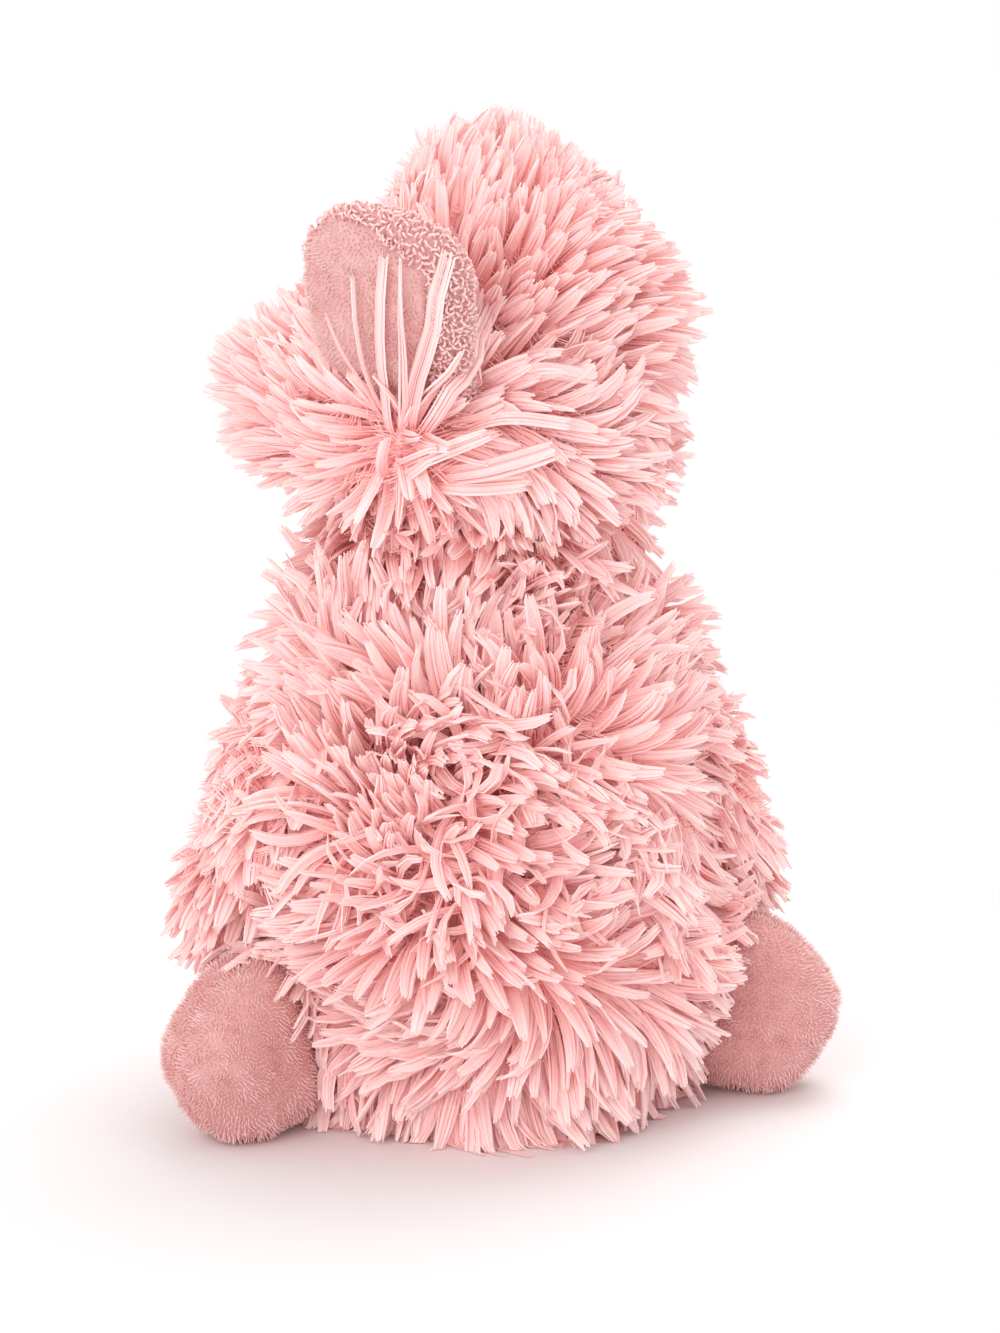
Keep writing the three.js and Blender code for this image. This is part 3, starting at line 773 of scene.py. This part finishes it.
# Terry loops: paler at their crowns and darker at both feet, painted shade where the loops go into the cloth.
TERRY_STOPS = [(0.0, (234, 186, 183)), (0.5, (246, 217, 214)), (1.0, (234, 186, 183))]
FUR = fibre_material("shaggy_fibre", FUR_STOPS, streaks=5.0, contrast=0.15)
FOOT_FIBRE = fibre_material("foot_fibre", FOOT_STOPS, streaks=1.0, contrast=0.2)
BILL_FIBRE = fibre_material("bill_fibre", BILL_STOPS, streaks=1.0, contrast=0.2)
TERRY = fibre_material("terry_loop", TERRY_STOPS, streaks=1.0, contrast=0.15)
BACKING = cloth_material("shaggy_backing", (255, 200, 198), (255, 210, 208), scale=900)
FOOT_CLOTH = cloth_material("foot_plush", (219, 162, 159), (229, 178, 175), scale=1100)
BILL_CLOTH = cloth_material("bill_plush", (224, 174, 171), (231, 187, 184), scale=1200)
LINING = cloth_material("wing_satin", (238, 172, 170), (246, 194, 191), scale=2200, bump=0.2)
POUCH = cloth_material("pellet_cotton", (226, 220, 210), (242, 238, 230), scale=1600)
EYE_GLOSS = plastic_material("eye_gloss", (14, 10, 9), (24, 17, 15), roughness=0.14, coat=0.6)
WASHER_PLASTIC = plastic_material("washer_plastic", (214, 212, 206), (234, 232, 228), roughness=0.45, coat=0)


# Padded pieces


def settle(obj, body, nodes):
    """Puts a piece on its body, in place of the nodes it stands for."""
    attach(obj, body)
    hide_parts(*nodes)
    return obj


def strand_piece(name, strands, rng, material, body, nodes, tip=1 - UV_EDGE):
    obj = new_object(name, strands_mesh(name, strands, rng, tip))
    return settle(paint(obj, material), body, nodes)


def padded_piece(name, nodes, body, material, slot, voxel, smoothing, grow, swell=0, seam=None, rounding=0):
    obj = even_skin(name, nodes, voxel, smoothing, grow)
    if rounding:
        round_outline(obj, rounding)
    if swell:
        puff(obj, swell)
    obj.modifiers.new("round", "SUBSURF").levels = 1
    apply_modifiers(obj)
    if seam:
        sink_seam(obj, seam, depth=1.1 * MM, width=2.2 * MM)
    paint(obj, material)
    settle(obj, body, nodes)
    return obj


def short_pile(name, skin, body, nodes, slot, material, spacing, length, root, keep, seed):
    """Short pile: a thin spike at each point, leaning away from the root in small clumps."""
    rng = np.random.default_rng(seed)
    points, normals = roots_on(skin, spacing, keep, rng)
    clumps = swirl(points, rng, CLUMP_WAVE, CLUMP_WAVES)
    lean = unit(normals + NAP_LEAN * unit(points - root) + CLUMP_LEAN * clumps)
    tips = points + lean * length * rng.uniform(*PILE_SPREAD, (len(points), 1))
    lines = np.stack([points - PILE_ROOT * normals, tips], axis=1)
    lines = keep_above_floor(lines)
    strands = round_strands(lines, PILE_TAPER * PILE_RADIUS, ROD_SIDES)
    strand_piece(name, strands, rng, material, body, nodes)


def hip_of(side):
    return np.array(JOINTS[f"{side}_leg_swing"]["pos_m"])


def foot(side, seed):
    nodes = [f"{side}_foot_{part}" for part in ("sole_panel", "top_panel", "filling")]
    body = f"{side}_leg"
    hip = hip_of(side)
    pad = {"voxel": 1.5 * MM, "smoothing": 12, "grow": PUFF_ROOM, "swell": PUFF_CAP, "rounding": 0.2}
    skin = padded_piece(f"{side}_foot", nodes, body, FOOT_CLOTH, "foot_plush", seam=nodes[:2], **pad)

    def past_hip(points, normals):
        return lengths_of(points - hip) > HIP_CLEARING

    pile = {"spacing": 0.66 * MM, "length": 1.4 * MM, "root": hip, "keep": past_hip, "seed": seed}
    short_pile(f"{side}_foot_pile", skin, body, nodes[:2], "foot_plush", FOOT_FIBRE, **pile)
    return skin


def bill():
    nodes = ["bill_upper_panel", "bill_lower_panel", "bill_filling"]
    pad = {"voxel": 1.2 * MM, "smoothing": 2, "grow": PUFF_ROOM, "swell": PUFF_CAP}
    skin = padded_piece("bill", nodes, "head", BILL_CLOTH, "bill_plush", **pad)
    upper = tree_of(NODES[nodes[0]].data)
    middle = centre_of(*nodes)
    right = camera_axes()[0]

    def from_seam(points):
        """Distance past the seam; the terry folds over the rim, most at the goose's left."""
        fold = TERRY_RIM + TERRY_FOLD * eased((points - middle) @ right, *TERRY_FOLD_RANGE)
        return distances(points, upper) - fold

    sink(skin, from_seam(places_of(skin.data)), depth=1.2 * MM, width=1.3 * MM)

    def below(points, normals):
        return from_seam(points) > PILE_START

    root = centre_of("head_filling")
    pile = {"spacing": 0.7 * MM, "length": 1.2 * MM, "root": root, "keep": below, "seed": 83}
    short_pile("bill_pile", skin, "head", nodes[1:2], "bill_plush", BILL_FIBRE, **pile)
    rng = np.random.default_rng(89)
    points, normals = roots_on(skin, CURL_SPACING, lambda points, _: from_seam(points) < -TERRY_END, rng)
    across = unit(np.cross(normals, rng.normal(size=points.shape)))
    beside = np.cross(normals, across)
    turns = np.linspace(0, math.pi, CURL_POINTS)[None, :, None]
    size = rng.uniform(*CURL_SIZES, (len(points), 1, 1))
    loops = -across[:, None] * np.cos(turns) * CURL_REACH + normals[:, None] * np.sin(turns) * CURL_HEIGHT
    loops = loops + beside[:, None] * np.sin(2 * turns) * CURL_REACH * CURL_SWAY
    strands = round_strands(points[:, None] + loops * size, np.full(CURL_POINTS, CURL_RADIUS), CURL_SIDES)
    strand_piece("bill_terry", strands, rng, TERRY, "head", nodes[:1])
    return skin


FEET_TREES = [tree_of(foot(side, seed).data) for side, seed in zip(SIDES, (61, 67))]
BILL_TREE = tree_of(bill().data)


# Eyes


def about_axis(points, centre, axis):
    """How far points lie along an axis, and their offset from it."""
    offset = points - centre
    along = offset @ axis
    return along, offset - along[..., None] * axis


def eye_axis(side):
    """Centre of an eye's flange and the direction the eye looks in."""
    places = places_of(NODES[f"{side}_eye"].data)
    middle = np.mean(places, axis=0)
    axis = unit(middle - np.mean(places_of(NODES[f"{side}_eye_washer"].data), axis=0))
    along, radial = about_axis(places, middle, axis)
    radius = lengths_of(radial)
    return middle + axis * along[radius > NEAR_WIDEST * radius.max()].min(), axis


def eye_dome(side):
    """A turned dome with a thin flange and its shank."""
    centre, axis = eye_axis(side)
    along, radial = about_axis(places_of(NODES[f"{side}_eye"].data), centre, axis)
    radius = lengths_of(radial)
    widest = radius.max()
    bottom = along.min()
    shank = radius[along < bottom + SHANK_END].max()
    profile = [(EYE_POLE, bottom), (shank, bottom), (shank, -FLANGE)]
    profile += [(FLANGE_SHARE * widest, -FLANGE), (widest, -FLANGE_EDGE)]
    for turn in np.linspace(0, math.pi / 2, EYE_RINGS):
        profile.append((max(widest * math.cos(turn), EYE_POLE), along.max() * math.sin(turn)))
    across = unit(np.cross(axis, UP))
    beside = np.cross(axis, across)
    turns = np.linspace(0, 2 * math.pi, EYE_SEGMENTS, endpoint=False)
    spokes = [across * math.cos(turn) + beside * math.sin(turn) for turn in turns]
    bm = bmesh.new()
    rings = []
    for away, level in profile:
        middle = centre + axis * level
        rings.append([bm.verts.new(middle + away * spoke) for spoke in spokes])
    for low, high in zip(rings, rings[1:]):
        for k in range(EYE_SEGMENTS):
            bm.faces.new([low[k], low[k - 1], high[k - 1], high[k]])
    bm.faces.new(rings[0])
    bm.faces.new(rings[-1][::-1])
    bmesh.ops.recalc_face_normals(bm, faces=bm.faces)
    obj = object_from(f"{side}_eye_dome", bm)
    obj.data.shade_smooth()
    settle(paint(obj, EYE_GLOSS), "head", [f"{side}_eye"])


for side in SIDES:
    eye_dome(side)
    for slot in NODES[f"{side}_eye_washer"].material_slots:
        slot.material = WASHER_PLASTIC
EYES = [eye_axis(side) for side in SIDES]


def clear_eyes(guides):
    """Parts the lines around each eye: a well that opens outward."""
    for centre, axis in EYES:
        along, radial = about_axis(guides, centre, axis)
        distance = lengths_of(radial)
        wanted = EYE_CLEARING + EYE_OPENING * np.maximum(along, 0)
        push = np.where((along > -EYE_DEPTH) & (distance < wanted), wanted - distance, 0)
        guides = guides + unit(radial) * push[..., None]
    return guides


def eye_wells(places):
    """Hollows a skin around the eyes, so that each sits on it in a shallow dimple."""
    for centre, axis in EYES:
        along, radial = about_axis(places, centre, axis)
        radius = lengths_of(radial)
        level = WELL_DEPTH * eased(radius, WELL_FLOOR, WELL_RIM) - WELL_SEAT
        lower = np.where((along > level) & (radius < WELL_RIM), along - level, 0)
        places = places - axis * lower[:, None]
    return places


def around_eye(points):
    """Distance from the axis of the eye on the same side of the head."""
    away = []
    for centre, axis in EYES:
        along, radial = about_axis(points, centre, axis)
        away.append(np.where(along > -EYE_SIDE, lengths_of(radial), 1))
    return np.min(away, axis=0)


# Furry coats

NECK_CENTRE = centre_of("neck_filling")
NECK_RADIUS = float(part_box("neck_filling")[1].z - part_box("neck_filling")[0].z) / 2
HEAD_CENTRE = centre_of("head_filling")
BILL_CENTRE = centre_of("bill_filling")
BASE_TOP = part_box("base_panel")[1].z + BASE_MARGIN
LINING_TREES = [tree_of(NODES[f"{side}_wing_lining"].data) for side in SIDES]


def backing(name, body, nodes, rise):
    """The dense underlayer of the long pile, which rises above its stuffing."""
    skin = paint(even_skin(f"{name}_backing", nodes, voxel=2.2 * MM, smoothing=6, grow=rise), BACKING)
    places = places_of(skin.data)
    places[:, 2] = np.maximum(places[:, 2], BASE_TOP)
    set_places(skin.data, places)
    settle(skin, body, [node for node in nodes if node.endswith("filling")])
    return skin


def locks_on(skin, seed, keep, style, spacing=LOCK_SPACING):
    """Middle lines of the locks on a skin; style gives their comb direction, length and lean."""
    rng = np.random.default_rng(seed)
    points, normals = roots_on(skin, spacing, keep, rng)
    comb, lengths, leans = style(points, normals)
    comb = comb + COMB_DRIFT * swirl(points, rng, COMB_WAVE) + rng.normal(0, COMB_SPREAD, points.shape)
    tangent = comb - normals * np.sum(comb * normals, axis=1, keepdims=True)
    leans = leans * np.clip(lengths_of(tangent), *TANGENT_LIMITS)
    guides, across = lock_guides(points, normals, comb, lengths, leans, rng)
    return guides, across, rng


def underfur(name, body, nodes, skin, keep, seed, share=None):
    """Short fibres in every direction, which fill the partings between the locks."""
    rng = np.random.default_rng(seed)
    points, normals = roots_on(skin, UNDER_SPACING, keep, rng)
    comb = swirl(points, rng, UNDER_WAVE)
    lengths = UNDER_LENGTH * (share(points) if share else 1)
    guides, across = lock_guides(points, normals, comb, lengths, UNDER_LEAN, rng)
    for tree in (*FEET_TREES, BILL_TREE):
        guides = keep_outside(guides, tree, margin=2 * MM)
    guides = clear_eyes(guides)
    strands = fibre_strands(guides[:, :: LOCK_POINTS // 2], across, rng, UNDER_FIBRES, UNDER_HALF_WIDTH)
    strands = keep_above_floor(strands)
    strand_piece(name, strands, rng, FUR, body, nodes, UNDER_TIP)


def fur_piece(name, body, nodes, guides, across, rng, size=1.0, taper=LOCK_TAPER):
    strands = keep_above_floor(lock_strands(guides, across, rng, size, taper))
    return strand_piece(name, strands, rng, FUR, body, nodes)


def off_neck(points):
    return lengths_of(points - NECK_CENTRE) > NECK_RADIUS + NECK_MARGIN


def under_wing(points, normals):
    """Which points have a wing over them."""
    rays = [(Vector(point), Vector(normal)) for point, normal in zip(points, normals)]
    return np.array([any(tree.ray_cast(*ray, WING_REACH)[0] for tree in LINING_TREES) for ray in rays])


def pressed_by_foot(guides, side, tree):
    """Which locks the foot presses when its leg swings forward to its limit."""
    joint = JOINTS[f"{side}_leg_swing"]
    hip = hip_of(side)
    turned_back = Matrix.Rotation(-math.radians(joint["range_deg"][1]), 3, Vector(joint["axis"]))
    moved = (guides - hip) @ np.array(turned_back).T + hip

    def touches(point):
        return tree.find_nearest(point, PRESS_MARGIN)[0] is not None or is_inside(tree, point)

    return np.array([any(touches(Vector(point)) for point in line) for line in moved])


def hip_fur(guides, across, side, rng):
    """The belly fur beside a leg, which the foot reaches when it swings forward, as a piece with a mesh of
    its own.
    """
    piece = fur_piece(f"{side}_hip_fur", "trunk", ["belly_panel"], guides, across, rng)
    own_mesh(piece)


def belly_curls(skin, whorl, rng):
    """Loose curls that lie across the whorl of the belly."""

    def near(points, normals):
        return lengths_of(points - whorl) < rng.uniform(*BELLY_AREA, len(points))

    points, normals = roots_on(skin, BELLY_SPACING, near, rng)
    points = points + BELLY_RISE * normals
    count = len(points)
    curls = rng.choice((-1, 1), count) * rng.uniform(*BELLY_DEGREES, count)
    comb = rng.normal(size=points.shape)
    guides, across = lock_guides(points, normals, comb, BELLY_LENGTH, BELLY_LEAN, rng, curls)
    free = ~np.any([pressed_by_foot(guides, side, tree) for side, tree in zip(SIDES, FEET_TREES)], axis=0)
    fur_piece("belly_curls", "trunk", ["belly_panel"], guides[free], across[free], rng, size=0.75)


def trunk_coat():
    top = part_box("belly_panel")[1].z
    skin = backing("trunk", "trunk", ["trunk_filling", "bean_bag"], rise=8 * MM)
    whorl, _ = seen_at(tree_of(skin.data), BELLY_PIXEL)
    right = camera_axes()[0]

    def keep(points, normals):
        clear = off_neck(points)
        for side in SIDES:
            clear &= lengths_of(points - hip_of(side)) > HIP_CLEARING
        return clear & ~((normals[:, 2] < UNDERSIDE_SLOPE) & (points[:, 2] < UNDERSIDE_HEIGHT))

    def style(points, normals):
        outward = (points - whorl) * np.array([1, 0, 1])
        distance = lengths_of(outward)
        behind = eased(normals[:, 1], *BACK_RANGE)
        comb = unit(outward) * (eased(distance, 0, BELLY_WHORL) * (1 - BACK_FALL * behind))[:, None]
        comb = comb - UP * (FRONT_FALL + BACK_FALL * behind)[:, None]
        covered = under_wing(points, normals)
        comb[covered] -= UP
        low, high = SHOULDER_RANGE
        shoulder = eased(points[:, 2], low * top, high * top) * np.abs(normals[:, 0])
        lengths = LOCK_LENGTH * (1 + shoulder * np.where(points @ right > 0, *SHOULDER_GROWTH))
        lengths = np.where(covered, COVERED_SHARE, 1) * lengths
        return comb, lengths, np.where(covered, COVERED_LEAN, TRUNK_LEAN)

    panels = ["belly_panel", "back_left_panel", "back_right_panel"]
    underfur("trunk_underfur", "trunk", panels, skin, keep, 13)
    guides, across, rng = locks_on(skin, 11, keep, style)
    for tree in FEET_TREES:
        guides = keep_outside(guides, tree, FOOT_MARGIN)
    roots = guides[:, 0]
    front = roots[:, 1] < 0
    left = roots[:, 0] > 0
    upper = roots[:, 2] > 0.5 * top
    pressed = np.zeros(len(roots), bool)
    for side, tree in zip(SIDES, FEET_TREES):
        hit = front & pressed_by_foot(guides, side, tree)
        hip_fur(guides[hit], across[hit], side, rng)
        pressed |= hit
    for name, node, quarter in (
        ("belly_left", "belly_panel", front & left),
        ("belly_right", "belly_panel", front & ~left),
        ("back_left", "back_left_panel", ~front & left),
        ("back_right", "back_right_panel", ~front & ~left),
    ):
        for level, half in (("upper", upper), ("lower", ~upper)):
            part = quarter & half & ~pressed
            fur_piece(f"{name}_{level}_fur", "trunk", [node], guides[part], across[part], rng)
    belly_curls(skin, whorl, rng)


def head_coat():
    skin = backing("head", "head", ["head_filling"], rise=8 * MM)
    whorl, _ = seen_at(tree_of(skin.data), WHORL_PIXEL)
    right, up, _ = camera_axes()

    def keep(points, normals):
        return off_neck(points) & (around_eye(points) > EYE_ROOTS)

    def crown_of(points):
        return eased((points - whorl) @ up, *CROWN_RISE) * eased((points - HEAD_CENTRE) @ -right, *CROWN_SIDE)

    def style(points, normals):
        distance = lengths_of(points - whorl)
        crown = crown_of(points)
        chin = eased(-(points - whorl) @ UP, 0, CHIN_DROP) * eased((points - whorl) @ right, *CHIN_SIDE)
        comb = unit(points - whorl) * eased(distance, 0, FACE_WHORL)[:, None]
        comb = comb + right * (CROWN_SWEEP * crown + CHIN_SWEEP * chin)[:, None]
        leans = HEAD_LEAN - OUTER_LIFT * eased(distance, *FACE_RANGE) + CROWN_LEAN * crown
        lengths = HEAD_LOCK_LENGTH * (1 - EYE_CUT + EYE_CUT * eased(around_eye(points), *EYE_RANGE))
        nape = eased(normals[:, 2], *NAPE_RISE) * eased(normals @ right, *NAPE_SIDE)
        return comb, lengths * (1 - CROWN_CUT * crown) * (1 - NAPE_CUT * nape), leans + NAPE_LEAN * nape

    places = places_of(skin.data)
    normals = places_of(skin.data, "vertex_normals", "vector")
    places -= normals * CROWN_DROP * crown_of(places)[:, None]
    set_places(skin.data, eye_wells(places))
    tree = tree_of(skin.data)
    nodes = ["head_left_panel", "head_right_panel"]
    underfur("head_underfur", "head", nodes, skin, keep, 29, lambda points: 1 - CROWN_CUT * crown_of(points))
    guides, across, rng = locks_on(skin, 23, keep, style, spacing=2.1 * MM)
    guides = keep_outside(guides, BILL_TREE, margin=1.6 * MM)
    guides = clear_eyes(guides)
    facing = unit(BILL_CENTRE - HEAD_CENTRE) * np.array([1, 1, 0])
    left = (guides[:, 0] - HEAD_CENTRE) @ np.cross(UP, facing) > 0
    upper = guides[:, 0, 2] > HEAD_CENTRE[2]
    for side, half in (("left", left), ("right", ~left)):
        for level, part in (("upper", half & upper), ("lower", half & ~upper)):
            name = f"head_{side}_{level}_fur"
            fur_piece(name, "head", [f"head_{side}_panel"], guides[part], across[part], rng)
    ribbons("bill_ribbons", FAN_PIXELS, tree, rng, rise=3 * MM)
    ribbons("chin_ribbons", SWEEP_PIXELS, tree, rng, rise=11 * MM)


def ribbons(name, pixels, skin_tree, rng, rise):
    """Single big locks along pixels of the photograph, which lie over the bill or the fur."""
    shares = np.linspace(0, 1, RIBBON_POINTS)[:, None]
    lines = []
    sides = []
    back = camera_axes()[2]
    for root, bend, tip, _ in pixels:
        start = seen_at(skin_tree, root)[0] + back * rise / 3
        hits = [seen_at(BILL_TREE, pixel) or seen_at(skin_tree, pixel) for pixel in (bend, tip)]
        middle, end = (place + back * rise for place, _ in hits)
        lift = middle + (middle - end) * RIBBON_BEND + back * RIBBON_LIFT
        line = start * (1 - shares) ** 3 + 3 * lift * (1 - shares) ** 2 * shares
        lines.append(line + 3 * middle * (1 - shares) * shares**2 + end * shares**3)
        sides.append(unit(np.cross(end - start, back)))
    guides = keep_outside(np.array(lines), BILL_TREE, margin=1.8 * MM)
    widths = np.array([[width] for *_, width in pixels])
    fur_piece(name, "head", ["head_right_panel"], guides, np.array(sides), rng, widths, RIBBON_TAPER)


def neck_coat():
    def height(points):
        return points[:, 2] - NECK_CENTRE[2]

    def keep(points, normals):
        return (height(points) > NECK_BAND[0]) & (height(points) < NECK_BAND[1])

    def in_socket(points):
        """How far a point lies up in the head's socket, where the fur stays short and flat."""
        return eased(height(points), *SOCKET_RANGE)

    def style(points, normals):
        comb = np.broadcast_to(-NECK_FALL * UP, points.shape)
        inner = in_socket(points)
        lengths = NECK_LOCK_LENGTH - (NECK_LOCK_LENGTH - SOCKET_LOCK_LENGTH) * inner
        return comb, lengths, NECK_LEAN + SOCKET_LEAN * inner

    cover = ["neck_cover"]
    skin = backing("neck", "neck", ["neck_filling"], rise=4 * MM)

    def share(points):
        return 1 - SOCKET_CUT * in_socket(points)

    underfur("neck_underfur", "neck", cover, skin, keep, 39, share)
    guides, across, rng = locks_on(skin, 37, keep, style, spacing=2.6 * MM)
    upper = height(guides[:, 0]) > NECK_SPLIT
    for name, part in (("neck_upper_fur", upper), ("neck_lower_fur", ~upper)):
        fur_piece(name, "neck", cover, guides[part], across[part], rng)


def wing_coat(side, sign, seed):
    low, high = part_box(f"{side}_wing_filling")

    def keep(points, normals):
        return sign * normals[:, 0] > -0.8

    def style(points, normals):
        height = (points[:, 2] - low.z) / (high.z - low.z)
        beside = 2 * (points[:, 1] - low.y) / (high.y - low.y) - 1
        edge = eased(np.abs(beside), *WING_EDGE)
        down = np.full(len(points), -1.0)
        comb = np.stack([sign * (0.5 - 0.9 * edge), 0.15 + 0.5 * beside, down], axis=1)
        tip = eased(-height, -WING_TIP, 0)
        lengths = WING_LOCK_LENGTH + (WING_TIP_LENGTH - WING_LOCK_LENGTH) * tip
        return comb, lengths, WING_LEAN - TIP_LIFT * tip

    body = f"{side}_wing"
    lining = [f"{side}_wing_lining"]
    satin = padded_piece(
        f"{side}_wing_satin", lining, body, LINING, "wing_lining", voxel=0.8 * MM, smoothing=3, grow=-0.4 * MM
    )
    middle = centre_of(*lining)
    places = middle + (places_of(satin.data) - middle) * np.array([1, LINING_SHARE, LINING_SHARE])
    set_places(satin.data, places)
    skin = backing(body, body, [f"{side}_wing_filling"], rise=1 * MM)
    cushion = tree_of(skin.data)

    def beyond(points, normals):
        """The outer face of the lining's rim, where the fabric runs on past the stuffing."""
        return (sign * normals[:, 0] > -0.3) & (distances(points, cushion) > LINING_REACH)

    panel = [f"{side}_wing_outer_panel"]
    underfur(f"{side}_wing_underfur", body, panel, skin, keep, seed + 20)
    guides, across, rng = locks_on(skin, seed, keep, style)
    rim_guides, rim_across, _ = locks_on(satin, seed + 40, beyond, style)
    guides = np.concatenate([guides, rim_guides])
    across = np.concatenate([across, rim_across])
    for tree in FEET_TREES:
        guides = keep_outside(guides, tree, FOOT_MARGIN)
    fur_piece(f"{side}_wing_fur", body, panel, guides, across, rng)


def tail_coat():
    def keep(points, normals):
        return normals[:, 1] > -0.6

    def style(points, normals):
        return np.broadcast_to(TAIL_COMB, points.shape), TAIL_LOCK_LENGTH, TAIL_LEAN

    skin = backing("tail", "trunk", ["tail_filling"], rise=3 * MM)
    guides, across, rng = locks_on(skin, 71, keep, style)
    fur_piece("tail_fur", "trunk", ["tail_cover"], guides, across, rng)


trunk_coat()
head_coat()
neck_coat()
for seed, (side, sign) in zip((51, 53), SIDES.items()):
    wing_coat(side, sign, seed)
tail_coat()


# Base and pellet pouch

padded_piece(
    "base_pad", ["base_panel"], "trunk", FOOT_CLOTH, "shaggy_pile", voxel=0.8 * MM, smoothing=2, grow=0.0
)
padded_piece(
    "pellet_pouch", ["bean_bag"], "trunk", POUCH, "pellet_pouch", voxel=1.6 * MM, smoothing=4, grow=0.0
)


# Studio, in metres

LIGHT_STRENGTH = 0.9
FLOOR_HALF = 3.0
SHADOW_RANGE = (0.08, 0.22)  # from the goose, where the floor's shade runs out into white


def world():
    """White to the camera, and an even soft light on the object."""
    studio = bpy.data.worlds.new("studio")
    bpy.context.scene.world = studio
    studio.use_nodes = True
    tree = studio.node_tree
    background = fill_in(tree.nodes["Background"], {"Color": (1, 1, 1, 1)})
    path = add(tree, "LightPath")
    limits = {"To Min": LIGHT_STRENGTH, "To Max": 1.0}
    bright = add(tree, "MapRange", {"Value": path.outputs["Is Camera Ray"]}, limits)
    tree.links.new(bright.outputs["Result"], background.inputs["Strength"])


def floor():
    """A pale floor that keeps the shadow near the goose and runs out into white."""
    mesh = bpy.data.meshes.new("floor")
    corners = [(FLOOR_HALF * x, FLOOR_HALF * y, 0) for x, y in ((-1, -1), (1, -1), (1, 1), (-1, 1))]
    mesh.from_pydata(corners, [], [(0, 1, 2, 3)])
    obj = new_object("floor", mesh)
    material, tree = node_material("white_floor")
    matte = {"Base Color": (0.86, 0.85, 0.85, 1), "Roughness": 1.0, "Specular IOR Level": 0.0}
    shader = fill_in(tree.nodes["Principled BSDF"], matte)
    white = add(tree, "Emission")
    away = add(tree, "VectorMath", {0: add(tree, "TexCoord").outputs["Object"]})
    away.operation = "LENGTH"
    limits = {"From Min": SHADOW_RANGE[0], "From Max": SHADOW_RANGE[1]}
    fade = add(tree, "MapRange", {"Value": away.outputs["Value"]}, limits)
    fade.interpolation_type = "SMOOTHSTEP"
    path = add(tree, "LightPath")
    seen = add(tree, "Math", {0: fade.outputs["Result"], 1: path.outputs["Is Camera Ray"]})
    seen.operation = "MULTIPLY"
    sources = {"Fac": seen.outputs["Value"], 1: shader.outputs["BSDF"], 2: white.outputs["Emission"]}
    mix = add(tree, "MixShader", sources)
    tree.links.new(mix.outputs["Shader"], tree.nodes["Material Output"].inputs["Surface"])
    paint(obj, material)


def soft_box(name, location, size, watts):
    lamp = bpy.data.lights.new(name, "AREA")
    lamp.shape = "DISK"
    lamp.size = size
    lamp.energy = watts
    obj = new_object(name, lamp)
    obj.location = location
    aim = Vector(UP * AIM_HEIGHT) - Vector(location)
    obj.rotation_euler = aim.to_track_quat("-Z", "Y").to_euler()


bpy.context.scene.view_settings.view_transform = "Standard"
bpy.context.scene.cycles.diffuse_bounces = 12  # light passes on many times between pale fibres
world()
floor()
photo_camera()
soft_box("top", (0.35, 0.3, 1.2), size=0.9, watts=6.5)
soft_box("front", (-0.8, -0.8, 0.6), size=1.0, watts=5)
